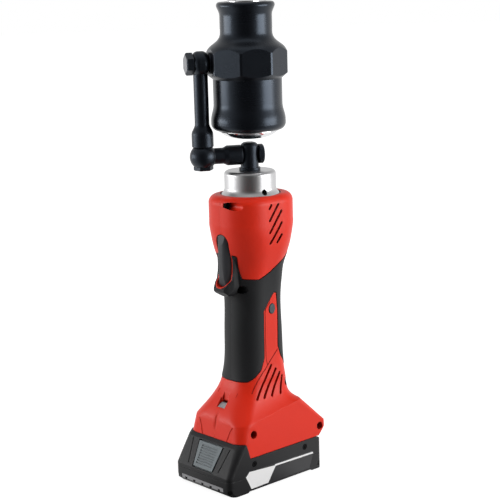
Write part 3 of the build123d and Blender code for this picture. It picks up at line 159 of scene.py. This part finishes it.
def paintedHollowShade(wire, reach):  # mask for painted shade: how enclosed a point is, from 0 in the open to 1 deep in a slot
    clear = wire.node("AmbientOcclusion", {"samples": paintedSlotShade["samples"]}, {"Distance": reach}, take="AO")
    return clip(wire, (1 - clear) * paintedSlotShade["gain"] - paintedSlotShade["start"])


def softFold(wire, rounded, fold):  # a wider round where the front of the shoe folds over
    across, upward = sideView(wire)
    off = wire.math("ABSOLUTE", upward - across * fold["rise"] - fold["height"], 0.0)
    near = clip(wire, (fold["reach"] - off) / (0.5 * fold["reach"]))
    ahead = clip(wire, (fold["from"] - across) / fold["ease"])
    wide = wire.node("Bevel", {"samples": fold["samples"]}, {"Radius": fold["radius"]}, take="Normal")
    blend = {"Factor": near * ahead, 4: rounded, 5: wide}  # 4 and 5 are the vector sockets
    return wire.node("Mix", {"data_type": "VECTOR"}, blend, take=1)


plainTint = (1, 1, 1)
# grain settings, and the reach, strength and tone of the painted shade in slots
mouldedGrainAndShade = {"cloudDetail": 4, "grainDetail": 2, "cloudRough": 0.12, "grainRough": 0.1,
                "slotReach": 2.5 * mm, "slotShade": 0.75, "paintedShadeTone": 0.25}


def moulded(name, look):  # moulded plastic or rubber with a sparked grain, painted shade in its slots and recesses, and a lighter edge tone for edge wear and a painted edge highlight
    finish, wire, shader = newFinish(name)
    cloud = noise(wire, look["cloud"], mouldedGrainAndShade["cloudDetail"])
    grain = noise(wire, look["grain"], mouldedGrainAndShade["grainDetail"])
    rounded, edge = softEdge(wire, look["edge"])
    if "fold" in look:
        rounded = softFold(wire, rounded, look["fold"])
    colour = mix(wire, cloud, tone(*look["deep"]), tone(*look["tone"]))
    # lighter edge tone: edge wear, and a painted highlight along convex and concave edges
    colour = mix(wire, edge * look["edgeShare"], colour, tone(*look["edgeTone"]))
    reach = look.get("reach", mouldedGrainAndShade["slotReach"])
    # painted shade: the colour is pulled towards a dim tone in slots, recesses and junctions
    paintedShade = paintedHollowShade(wire, reach) * look.get("shade", mouldedGrainAndShade["slotShade"])
    colour = mix(wire, paintedShade, colour, tone(*(mouldedGrainAndShade["paintedShadeTone"] * part for part in look["deep"])))
    cloudy = (cloud - 0.5) * mouldedGrainAndShade["cloudRough"]
    grainy = (grain - 0.5) * mouldedGrainAndShade["grainRough"]
    wire.feed(shader, {
        "Base Color": colour,
        "Roughness": look["rough"] + cloudy + grainy,
        "Specular IOR Level": look["shine"],
        "Specular Tint": tone(*look.get("tint", plainTint)),
        "Normal": bump(wire, grain, look["depth"], rounded),
    })
    return finish


turnedGrain = {"ringDetail": 2, "ringStretch": (0.02, 0.02, 1.0), "cloudDetail": 4, "cloudRough": 0.08}


def turned(name, look):  # turned or ground metal, with fine rings about the upright axis
    finish, wire, shader = newFinish(name)
    rings = noise(wire, look["ring"], turnedGrain["ringDetail"], turnedGrain["ringStretch"])
    cloud = noise(wire, look["cloud"], turnedGrain["cloudDetail"])
    rounded, edge = softEdge(wire, look["edge"])
    colour = mix(wire, cloud, tone(*look["deep"]), tone(*look["tone"]))
    # lighter edge tone: edge wear, and a painted highlight along convex and concave edges
    colour = mix(wire, edge * look["edgeShare"], colour, tone(*look["edgeTone"]))
    if "face" in look:  # painted highlight: the end face, which faces the left lamp, is given a lighter tone
        heading = {0: place(wire), 1: look["faceHeading"]}
        along = wire.node("VectorMath", {"operation": "DOT_PRODUCT"}, heading, take="Value")
        colour = mix(wire, along > look["faceFrom"], colour, tone(*look["face"]))
    ringed = (rings - 0.5) * look["ringRough"]
    cloudy = (cloud - 0.5) * turnedGrain["cloudRough"]
    wire.feed(shader, {
        "Base Color": colour,
        "Metallic": look["metal"],
        "Roughness": look["rough"] + ringed + cloudy,
        "Specular IOR Level": look["shine"],
        "Specular Tint": tone(*look.get("tint", plainTint)),
        "Normal": bump(wire, rings, look["depth"], rounded),
    })
    return finish


redShell = {"tone": (0.75, 0.024, 0.0055), "deep": (0.68, 0.020, 0.0045), "cloud": 30 * mm,
            "grain": 0.45 * mm, "depth": 0.010 * mm, "edge": 0.7 * mm, "edgeShare": 0.25,
            "edgeTone": (0.85, 0.16, 0.12), "rough": 0.40, "shine": 0.32, "shade": 0.97, "reach": 9 * mm,
            "fold": {"height": 68 * mm, "rise": 0.158, "reach": 8 * mm, "from": -30 * mm, "ease": 10 * mm,
                     "radius": 6 * mm, "samples": 8}}
# darker reds for the fine beads: painted shade of the creases and steps they trace on the shell, and the
# dark parting line at the front
seamShade = {"tone": (0.20, 0.006, 0.003), "deep": (0.16, 0.005, 0.0025), "cloud": 30 * mm,
             "grain": 0.45 * mm, "depth": 0.010 * mm, "edge": 0.2 * mm, "edgeShare": 0.0,
             "edgeTone": (0.2, 0.02, 0.01), "rough": 0.6, "shine": 0.1, "shade": 0.0}
faintShade = {"tone": (0.56, 0.017, 0.005), "deep": (0.50, 0.015, 0.0045), "cloud": 30 * mm,
              "grain": 0.45 * mm, "depth": 0.010 * mm, "edge": 0.2 * mm, "edgeShare": 0.0,
              "edgeTone": (0.4, 0.02, 0.01), "rough": 0.5, "shine": 0.2, "shade": 0.0}
softGrip = {"tone": (0.015, 0.0155, 0.017), "deep": (0.011, 0.0115, 0.0125), "cloud": 16 * mm,
            "grain": 0.35 * mm, "depth": 0.02 * mm, "edge": 0.8 * mm, "edgeShare": 0.3,
            "edgeTone": (0.05, 0.05, 0.052), "rough": 0.54, "shine": 0.25}
triggerPlastic = {"tone": (0.036, 0.037, 0.042), "deep": (0.028, 0.029, 0.033), "cloud": 14 * mm,
                  "grain": 0.3 * mm, "depth": 0.012 * mm, "edge": 0.6 * mm, "edgeShare": 0.3,
                  "edgeTone": (0.09, 0.09, 0.1), "rough": 0.55, "shine": 0.45}
retractPlastic = {"tone": (0.045, 0.062, 0.072), "deep": (0.036, 0.05, 0.058), "cloud": 8 * mm,
                  "grain": 0.3 * mm, "depth": 0.012 * mm, "edge": 0.5 * mm, "edgeShare": 0.3,
                  "edgeTone": (0.1, 0.13, 0.15), "rough": 0.5, "shine": 0.45}
packPlastic = {"tone": (0.014, 0.014, 0.0152), "deep": (0.0105, 0.0105, 0.0115), "cloud": 22 * mm,
               "grain": 0.4 * mm, "depth": 0.016 * mm, "edge": 0.7 * mm, "edgeShare": 0.35,
               "edgeTone": (0.10, 0.10, 0.105), "rough": 0.48, "shine": 0.30}
stripPlastic = {"tone": (0.30, 0.30, 0.31), "deep": (0.24, 0.24, 0.25), "cloud": 12 * mm, "grain": 0.3 * mm,
                "depth": 0.012 * mm, "edge": 0.4 * mm, "edgeShare": 0.2, "edgeTone": (0.5, 0.5, 0.5),
                "rough": 0.5, "shine": 0.45}
releasePlastic = {"tone": (0.155, 0.18, 0.192), "deep": (0.125, 0.148, 0.158), "cloud": 14 * mm,
                  "grain": 0.3 * mm, "depth": 0.012 * mm, "edge": 0.5 * mm, "edgeShare": 0.35,
                  "edgeTone": (0.34, 0.37, 0.38), "rough": 0.5, "shine": 0.4, "shade": 1.0}
innerPlastic = {"tone": (0.05, 0.05, 0.055), "deep": (0.035, 0.035, 0.04), "cloud": 18 * mm,
                "grain": 0.5 * mm, "depth": 0.02 * mm, "edge": 0.4 * mm, "edgeShare": 0.2,
                "edgeTone": (0.12, 0.12, 0.12), "rough": 0.6, "shine": 0.4}
boardLacquer = {"tone": (0.02, 0.16, 0.06), "deep": (0.012, 0.1, 0.04), "cloud": 3 * mm, "grain": 0.8 * mm,
                "depth": 0.03 * mm, "edge": 0.2 * mm, "edgeShare": 0.4, "edgeTone": (0.4, 0.36, 0.2),
                "rough": 0.35, "shine": 0.5}
leadSheath = {"tone": (0.34, 0.02, 0.02), "deep": (0.24, 0.012, 0.012), "cloud": 8 * mm, "grain": 0.5 * mm,
              "depth": 0.02 * mm, "edge": 0.2 * mm, "edgeShare": 0.1, "edgeTone": (0.5, 0.1, 0.1),
              "rough": 0.5, "shine": 0.45}
sealRubber = {"tone": (0.018, 0.018, 0.019), "deep": (0.012, 0.012, 0.013), "cloud": 10 * mm,
              "grain": 0.4 * mm, "depth": 0.02 * mm, "edge": 0.3 * mm, "edgeShare": 0.2,
              "edgeTone": (0.05, 0.05, 0.05), "rough": 0.65, "shine": 0.4}
cellWrap = {"tone": (0.03, 0.26, 0.33), "deep": (0.02, 0.2, 0.27), "cloud": 20 * mm, "grain": 1.2 * mm,
            "depth": 0.03 * mm, "edge": 0.3 * mm, "edgeShare": 0.2, "edgeTone": (0.2, 0.45, 0.5),
            "rough": 0.3, "shine": 0.5}
headBlack = {"tone": (0.0042, 0.0045, 0.006), "deep": (0.003, 0.0032, 0.0045), "cloud": 18 * mm,
             "ring": 0.25 * mm, "ringRough": 0.04, "depth": 0.0004 * mm, "edge": 0.7 * mm,
             "edgeShare": 0.25, "edgeTone": (0.05, 0.053, 0.06), "metal": 0.0, "rough": 0.28, "shine": 0.5,
             "tint": (0.66, 0.80, 1.0)}
blackSteel = {"tone": (0.0045, 0.0048, 0.0065), "deep": (0.003, 0.0032, 0.0042), "cloud": 9 * mm,
              "ring": 0.4 * mm, "ringRough": 0.05, "depth": 0.003 * mm, "edge": 0.6 * mm,
              "edgeShare": 0.35, "edgeTone": (0.06, 0.062, 0.07), "metal": 0.0, "rough": 0.36, "shine": 0.5,
              "tint": (0.66, 0.80, 1.0)}
# the bolt's end face gets a painted highlight: a lighter tone
boltSteel = {"tone": (0.0045, 0.0048, 0.0065), "deep": (0.003, 0.0032, 0.0042), "cloud": 5 * mm,
             "ring": 0.2 * mm, "ringRough": 0.1, "depth": 0.002 * mm, "edge": 0.4 * mm,
             "edgeShare": 0.4, "edgeTone": (0.07, 0.07, 0.075), "metal": 0.0, "rough": 0.36, "shine": 0.5,
             "tint": (0.66, 0.80, 1.0), "face": (0.20, 0.20, 0.21), "faceFrom": 55.9 * mm,
             "faceHeading": (-0.4695, -0.8829, 0.0)}
screwSteel = {"tone": (0.004, 0.004, 0.0044), "deep": (0.003, 0.003, 0.0033), "cloud": 4 * mm,
              "ring": 0.2 * mm, "ringRough": 0.1, "depth": 0.002 * mm, "edge": 0.3 * mm, "edgeShare": 0.3,
              "edgeTone": (0.03, 0.03, 0.03), "metal": 0.0, "rough": 0.5, "shine": 0.08}
collarSteel = {"tone": (0.66, 0.66, 0.665), "deep": (0.58, 0.58, 0.59), "cloud": 24 * mm, "ring": 0.22 * mm,
               "ringRough": 0.1, "depth": 0.0012 * mm, "edge": 0.5 * mm, "edgeShare": 0.3,
               "edgeTone": (0.8, 0.8, 0.8), "metal": 1.0, "rough": 0.35, "shine": 0.5}
polishedSteel = {"tone": (0.80, 0.80, 0.81), "deep": (0.74, 0.74, 0.755), "cloud": 20 * mm,
                 "ring": 0.2 * mm, "ringRough": 0.05, "depth": 0.0006 * mm, "edge": 0.4 * mm,
                 "edgeShare": 0.2, "edgeTone": (0.9, 0.9, 0.9), "metal": 1.0, "rough": 0.1, "shine": 0.5}
motorSteel = {"tone": (0.5, 0.5, 0.51), "deep": (0.4, 0.4, 0.41), "cloud": 12 * mm, "ring": 0.3 * mm,
              "ringRough": 0.1, "depth": 0.002 * mm, "edge": 0.4 * mm, "edgeShare": 0.3,
              "edgeTone": (0.7, 0.7, 0.7), "metal": 1.0, "rough": 0.35, "shine": 0.5}
gearSteel = {"tone": (0.42, 0.42, 0.43), "deep": (0.33, 0.33, 0.34), "cloud": 6 * mm, "ring": 0.2 * mm,
             "ringRough": 0.1, "depth": 0.002 * mm, "edge": 0.2 * mm, "edgeShare": 0.4,
             "edgeTone": (0.65, 0.65, 0.65), "metal": 1.0, "rough": 0.3, "shine": 0.5}
pumpAlloy = {"tone": (0.6, 0.61, 0.62), "deep": (0.48, 0.49, 0.5), "cloud": 10 * mm, "ring": 0.5 * mm,
             "ringRough": 0.12, "depth": 0.004 * mm, "edge": 0.4 * mm, "edgeShare": 0.3,
             "edgeTone": (0.75, 0.75, 0.75), "metal": 1.0, "rough": 0.4, "shine": 0.5}
contactBrass = {"tone": (0.70, 0.50, 0.18), "deep": (0.58, 0.39, 0.13), "cloud": 5 * mm, "ring": 0.2 * mm,
                "ringRough": 0.08, "depth": 0.0015 * mm, "edge": 0.2 * mm, "edgeShare": 0.3,
                "edgeTone": (0.85, 0.68, 0.35), "metal": 1.0, "rough": 0.28, "shine": 0.5}

labelFilm = {"white": (0.86, 0.86, 0.86), "dark": (0.022, 0.022, 0.024), "rough": 0.3, "cloud": 15 * mm,
             "cloudDetail": 3, "cloudRough": 0.15,
             "panel": ((-49.1, 15.5), (-44.7, 19.7), (-11.9, 17.5), (-21.9, 3.3), (-42.7, 2.9)),
             "stripe": ((-13.5, 16.9), (-13.0, 18.5), (36.0, 17.9), (36.0, 16.1))}


def insideOutline(wire, outline):  # 1 inside a convex outline of y and z, given clockwise, else 0
    across, upward = sideView(wire)
    share = None
    for (y0, z0), (y1, z1) in zip(outline, outline[1:] + outline[:1]):
        side = (upward - z0 * mm) * (y1 - y0) - (across - y0 * mm) * (z1 - z0) < 0.0
        share = side if share is None else share * side
    return share


def labelFinish(name, look):  # printed film: a white panel and stripe on a dark ground
    finish, wire, shader = newFinish(name)
    cloud = noise(wire, look["cloud"], look["cloudDetail"])
    white = insideOutline(wire, look["panel"]) + insideOutline(wire, look["stripe"])
    wire.feed(shader, {
        "Base Color": mix(wire, clip(wire, white), tone(*look["dark"]), tone(*look["white"])),
        "Roughness": look["rough"] + (cloud - 0.5) * look["cloudRough"],
    })
    return finish


lensClear = {"tone": (0.55, 0.56, 0.57), "deep": (0.16, 0.17, 0.18), "rough": 0.3, "cloud": 2.2 * mm,
             "cloudDetail": 2, "cloudRough": 0.2, "metal": 0.2, "coat": 0.4, "coatRough": 0.1}


def lensFinish(name, look):  # a glossy window with a mottled bright reflector in it
    finish, wire, shader = newFinish(name)
    cloud = noise(wire, look["cloud"], look["cloudDetail"])
    wire.feed(shader, {
        "Base Color": mix(wire, cloud, tone(*look["deep"]), tone(*look["tone"])),
        "Metallic": look["metal"],
        "Roughness": look["rough"] + (cloud - 0.5) * look["cloudRough"],
        "Coat Weight": look["coat"],
        "Coat Roughness": look["coatRough"],
    })
    return finish


finishes = {
    "red_shell": moulded("redShell", redShell),
    "soft_grip": moulded("softGrip", softGrip),
    "trigger_plastic": moulded("triggerPlastic", triggerPlastic),
    "retract_plastic": moulded("retractPlastic", retractPlastic),
    "screw_steel": turned("screwSteel", screwSteel),
    "lens": lensFinish("lensClear", lensClear),
    "inner_plastic": moulded("innerPlastic", innerPlastic),
    "board": moulded("boardLacquer", boardLacquer),
    "contact_brass": turned("contactBrass", contactBrass),
    "motor_steel": turned("motorSteel", motorSteel),
    "gear_steel": turned("gearSteel", gearSteel),
    "lead": moulded("leadSheath", leadSheath),
    "pump_alloy": turned("pumpAlloy", pumpAlloy),
    "seal_rubber": moulded("sealRubber", sealRubber),
    "collar_steel": turned("collarSteel", collarSteel),
    "black_steel": turned("blackSteel", blackSteel),
    "head_black": turned("headBlack", headBlack),
    "bolt_steel": turned("boltSteel", boltSteel),
    "polished_steel": turned("polishedSteel", polishedSteel),
    "pack_plastic": moulded("packPlastic", packPlastic),
    "strip_plastic": moulded("stripPlastic", stripPlastic),
    "release_plastic": moulded("releasePlastic", releasePlastic),
    "label": labelFinish("labelFilm", labelFilm),
    "cell_wrap": moulded("cellWrap", cellWrap),
    "paintedCrease": moulded("seamShade", seamShade),
    "faint": moulded("faintShade", faintShade),
}
for subpart in frame["record"]["subparts"]:
    piece = nodes[subpart["node"]]
    for slot in piece.material_slots:
        slot.material = finishes[subpart["material_slot"]]
print("finishes on", len(nodes), "nodes")


# the beads' darker reds paint the shade along creases and steps of the shell
frontArc = {"shell": "right_housing", "thick": 0.6 * mm, "lift": -0.15 * mm, "finish": "faint", "points": (
    (16.7, -52.9, 45.2), (17.2, -52.6, 47.0), (18.3, -51.7, 50.0), (19.6, -50.8, 53.7), (22.0, -49.4, 57.9),
    (24.0, -47.9, 59.8), (26.0, -46.2, 61.0), (29.4, -43.6, 61.4), (32.7, -40.3, 60.8))}
shoulderLine = {"shell": "right_housing", "thick": 0.38 * mm, "lift": 0.0, "finish": "paintedCrease", "points": (
    (21.7, 8.6, 120.6), (21.7, 7.2, 119.1), (22.1, -1.0, 111.9), (22.6, -7.4, 105.8), (22.9, -12.8, 101.4),
    (22.7, -17.8, 95.9), (22.5, -22.2, 90.2), (22.9, -25.8, 85.4))}
lensMark = {"shell": "right_housing", "thick": 0.34 * mm, "lift": 0.0, "finish": "faint", "points": (
    (12.4, -33.8, 85.3), (12.3, -34.9, 83.6), (12.2, -35.9, 82.0))}
stripeLine = {"shell": "right_housing", "thick": 0.25 * mm, "lift": 0.0, "finish": "paintedCrease", "points": (
    (21.5, 0.6, 166.5), (21.5, -5.2, 159.6), (21.5, -5.6, 150.0), (21.5, -5.9, 135.0), (21.5, -6.0, 122.0),
    (21.8, -6.2, 114.5), (22.2, -5.0, 108.4))}
frontSeam = {"shell": "right_housing", "thick": 0.24 * mm, "lift": 0.0, "finish": "faint", "points": (
    (0.05, -44.6, 68.0), (0.05, -47.0, 63.5), (0.05, -49.9, 57.6), (0.05, -51.3, 51.5),
    (0.05, -52.8, 46.0))}
bead = {"steps": 6, "roundness": 3, "seed": 1 * mm}


def smoothPath(points, steps):  # more points along an even curve through the given ones
    spots = [Vector(point) * mm for point in points]
    ends = [spots[0] * 2 - spots[1]] + spots + [spots[-1] * 2 - spots[-2]]
    path = []
    for a, b, c, d in zip(ends, ends[1:], ends[2:], ends[3:]):
        for step in range(steps):
            t = step / steps
            bend = (2 * a - 5 * b + 4 * c - d) * t ** 2
            twist = (3 * b - a - 3 * c + d) * t ** 3
            path.append(0.5 * (2 * b + (c - a) * t + bend + twist))
    return path + [spots[-1]]


def fineLine(name, plan, mirrored=False):  # a thin bead that follows a shell
    flip = -1 if mirrored else 1
    path = smoothPath([(flip * x, y, z) for x, y, z in plan["points"]], bead["steps"])
    shell = plan["shell"].replace("right", "left") if mirrored else plan["shell"]
    bpy.ops.object.select_all(action="DESELECT")
    bpy.ops.mesh.primitive_plane_add(size=bead["seed"])
    line = bpy.context.object
    line.name = name
    bpy.ops.object.mode_set(mode="EDIT")
    bpy.ops.mesh.select_all(action="SELECT")
    bpy.ops.mesh.merge(type="CENTER")
    bpy.ops.transform.translate(value=path[0])
    for near, far in zip(path, path[1:]):
        bpy.ops.mesh.extrude_vertices_move(TRANSFORM_OT_translate={"value": far - near})
    bpy.ops.object.mode_set(mode="OBJECT")
    wrap = line.modifiers.new("onShell", "SHRINKWRAP")
    wrap.target = nodes[shell]
    wrap.wrap_mode = "ABOVE_SURFACE"
    wrap.offset = plan["lift"]
    bpy.ops.object.modifier_apply(modifier=wrap.name)
    bpy.ops.object.convert(target="CURVE")
    line.data.bevel_depth = plan["thick"]
    line.data.bevel_resolution = bead["roundness"]
    line.data.use_fill_caps = True
    bpy.ops.object.convert(target="MESH")
    bpy.ops.object.shade_smooth()
    line.data.materials.clear()
    line.data.materials.append(finishes[plan["finish"]])
    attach(line, "tool_body")


pairedLines = {"frontArc": frontArc, "shoulderLine": shoulderLine, "lensMark": lensMark,
               "stripeLine": stripeLine}
for lineName, linePlan in pairedLines.items():
    fineLine(lineName + "Right", linePlan)
    fineLine(lineName + "Left", linePlan, mirrored=True)
fineLine("frontSeam", frontSeam)
print("fine lines laid on the shells")


liftSpring = {"node": "return_spring", "wire": 1.4 * mm, "turns": 8, "joint": "draw_stroke",
              "stroke": 20 * mm, "wireSides": 12, "turnSteps": 32, "weld": 0.001 * mm, "smoothTo": 40}


def buildSpring(plan):  # the coil that lifts the piston again
    low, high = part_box(plan["node"])
    length = high[2] - low[2]
    bpy.ops.object.select_all(action="DESELECT")
    upright = (math.pi / 2, 0, 0)
    bpy.ops.mesh.primitive_circle_add(vertices=plan["wireSides"], radius=plan["wire"], rotation=upright)
    bpy.ops.object.transform_apply(rotation=True)
    coil = bpy.context.object
    coil.name = "liftSpring"
    bpy.ops.object.mode_set(mode="EDIT")
    bpy.ops.mesh.select_all(action="SELECT")
    bpy.ops.transform.translate(value=(high[0] - plan["wire"], 0, low[2] + plan["wire"]))
    bpy.ops.object.mode_set(mode="OBJECT")
    wind = coil.modifiers.new("wind", "SCREW")
    wind.iterations = plan["turns"]
    wind.screw_offset = (length - 2 * plan["wire"]) / plan["turns"]
    wind.steps = plan["turnSteps"]
    wind.render_steps = plan["turnSteps"]
    bpy.ops.object.modifier_apply(modifier=wind.name)
    bpy.ops.object.mode_set(mode="EDIT")
    bpy.ops.mesh.select_all(action="SELECT")
    bpy.ops.mesh.remove_doubles(threshold=plan["weld"])
    bpy.ops.mesh.fill_holes(sides=0)
    bpy.ops.mesh.normals_make_consistent(inside=False)
    bpy.ops.object.mode_set(mode="OBJECT")
    bpy.ops.object.shade_smooth_by_angle(angle=math.radians(plan["smoothTo"]))
    coil.data.materials.clear()
    coil.data.materials.append(finishes["gear_steel"])
    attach(coil, "draw_head")
    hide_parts(plan["node"])
    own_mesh(coil)


buildSpring(liftSpring)
print("spring wound")


studio = {"floorSize": 9.0, "floorSides": 64, "floorTone": (0.5, 0.5, 0.5), "floorRough": 0.9,
          "nearLift": 0.80, "farLift": 1.05, "liftStart": 0.22, "liftEnd": 0.75, "worldFill": 0.14,
          "frontDark": 0.05, "backBright": 1.0, "darkTo": 1.0, "brightFrom": 0.2, "skyDark": 0.7,
          "topSize": 1.6, "topHeight": 1.9, "topWatts": 3.0,
          "boxAway": 1.5, "boxWidth": 1.1, "boxAim": 0.25,
          "boxes": (  # turn from the camera, height of the middle, height, watts, seen in gloss
              (72.0, 0.36, 0.60, 11.5, True), (72.0, 1.10, 0.75, 14.0, False),
              (-90.0, 0.36, 0.34, 6.2, True), (-80.0, 0.90, 1.10, 14.0, False))}
pureWhite = (1, 1, 1)
photoCamera = {"turn": 47.73, "dip": 11.585, "roll": -1.585, "away": 1.2543, "height": 0.4691,
               "lens": 101.04, "shift": (-0.0041, -0.0008)}


def buildCamera(plan):
    turn = math.radians(plan["turn"])
    data = bpy.data.cameras.new("photoCamera")
    data.lens = plan["lens"]
    data.shift_x = plan["shift"][0]
    data.shift_y = plan["shift"][1]
    camera = bpy.data.objects.new("photoCamera", data)
    bpy.context.scene.collection.objects.link(camera)
    spin = Matrix.Rotation(turn, 4, "Z")
    nod = Matrix.Rotation(math.radians(90 - plan["dip"]), 4, "X")
    roll = Matrix.Rotation(math.radians(plan["roll"]), 4, "Z")
    spot = Vector((plan["away"] * math.sin(turn), -plan["away"] * math.cos(turn), plan["height"]))
    camera.matrix_world = Matrix.Translation(spot) @ spin @ nod @ roll
    bpy.context.scene.camera = camera


def softbox(name, spot, aim, width, height, watts, inGloss=True):
    data = bpy.data.lights.new(name, "AREA")
    data.shape = "RECTANGLE"
    data.size = width
    data.size_y = height
    data.energy = watts
    lamp = bpy.data.objects.new(name, data)
    bpy.context.scene.collection.objects.link(lamp)
    lamp.location = spot
    lamp.rotation_mode = "QUATERNION"
    lamp.rotation_quaternion = (Vector(aim) - Vector(spot)).to_track_quat("-Z", "Y")
    lamp.visible_camera = False
    lamp.visible_glossy = inGloss


def rayKind(wire, kind):
    return wire.node("LightPath", take=kind)


def smooth(wire, value, fromLow, fromHigh, toLow, toHigh):
    ends = {"From Min": fromLow, "From Max": fromHigh, "To Min": toLow, "To Max": toHigh}
    return wire.node("MapRange", {"interpolation_type": "SMOOTHSTEP"}, {"Value": value, **ends})


def studioGlow(wire, plan, heading):  # what gloss sees: dark behind the camera, bright at the back
    turn = math.radians(photoCamera["turn"])
    front = (math.sin(turn), -math.cos(turn), 0.0)
    facing = wire.node("VectorMath", {"operation": "DOT_PRODUCT"}, {0: heading, 1: front}, take="Value")
    level = smooth(wire, facing, plan["brightFrom"], plan["darkTo"], plan["backBright"], plan["frontDark"])
    upward = wire.node("SeparateXYZ", {}, {0: heading}, take="Z")
    return level * (1 - clip(wire, upward) * plan["skyDark"])


def buildFloor(plan):
    bpy.ops.object.select_all(action="DESELECT")
    size = plan["floorSize"]
    bpy.ops.mesh.primitive_circle_add(vertices=plan["floorSides"], radius=size, fill_type="NGON")
    floor = bpy.context.object
    floor.name = "floor"
    finish, wire, shader = newFinish("paleFloor")
    wire.feed(shader, {
        "Base Color": tone(*plan["floorTone"]),
        "Roughness": plan["floorRough"],
        "Specular IOR Level": 0.0,
    })
    away = wire.node("VectorMath", {"operation": "LENGTH"}, {0: place(wire)}, take="Value")
    lift = smooth(wire, away, plan["liftStart"], plan["liftEnd"], plan["nearLift"], plan["farLift"])
    inView = lift * rayKind(wire, "Is Camera Ray")
    glow = wire.node("Emission", {}, {"Color": tone(*pureWhite), "Strength": inView})
    seen = wire.node("AddShader", {}, {0: Wire(wire.tree, shader.outputs[0]), 1: glow})
    heading = wire.node("VectorMath", {"operation": "NORMALIZE"}, {0: place(wire)}, take="Vector")
    inGloss = studioGlow(wire, plan, heading)
    mirrored = wire.node("Emission", {}, {"Color": tone(*pureWhite), "Strength": inGloss})
    both = wire.node("MixShader", {}, {0: rayKind(wire, "Is Glossy Ray"), 1: seen, 2: mirrored})
    wire.feed(finish.node_tree.nodes["Material Output"], {"Surface": both})
    floor.data.materials.append(finish)


def buildStudio(plan):
    for number, (side, middle, height, watts, inGloss) in enumerate(plan["boxes"]):
        heading = math.radians(photoCamera["turn"] + side)
        spot = (plan["boxAway"] * math.sin(heading), -plan["boxAway"] * math.cos(heading), middle)
        aim = (0, 0, plan["boxAim"])
        softbox("sideBox%d" % number, spot, aim, plan["boxWidth"], height, watts, inGloss)
    above = (0, 0, plan["topHeight"])
    softbox("topBox", above, (0, 0, 0), plan["topSize"], plan["topSize"], plan["topWatts"])
    world = bpy.data.worlds.new("studio")
    bpy.context.scene.world = world
    world.use_nodes = True
    wire = Wire(world.node_tree)
    direct = wire.math("MAXIMUM", rayKind(wire, "Is Camera Ray"), rayKind(wire, "Is Transmission Ray"))
    gloss = rayKind(wire, "Is Glossy Ray")
    mirrored = studioGlow(wire, plan, wire.node("TexCoord", take="Generated"))
    fill = (1 - direct) * (1 - gloss) * plan["worldFill"]
    back = world.node_tree.nodes["Background"]
    wire.feed(back, {"Color": tone(*pureWhite), "Strength": direct + gloss * mirrored + fill})
    bpy.context.scene.view_settings.view_transform = "Standard"


buildCamera(photoCamera)
buildFloor(studio)
buildStudio(studio)
print("studio and camera set")
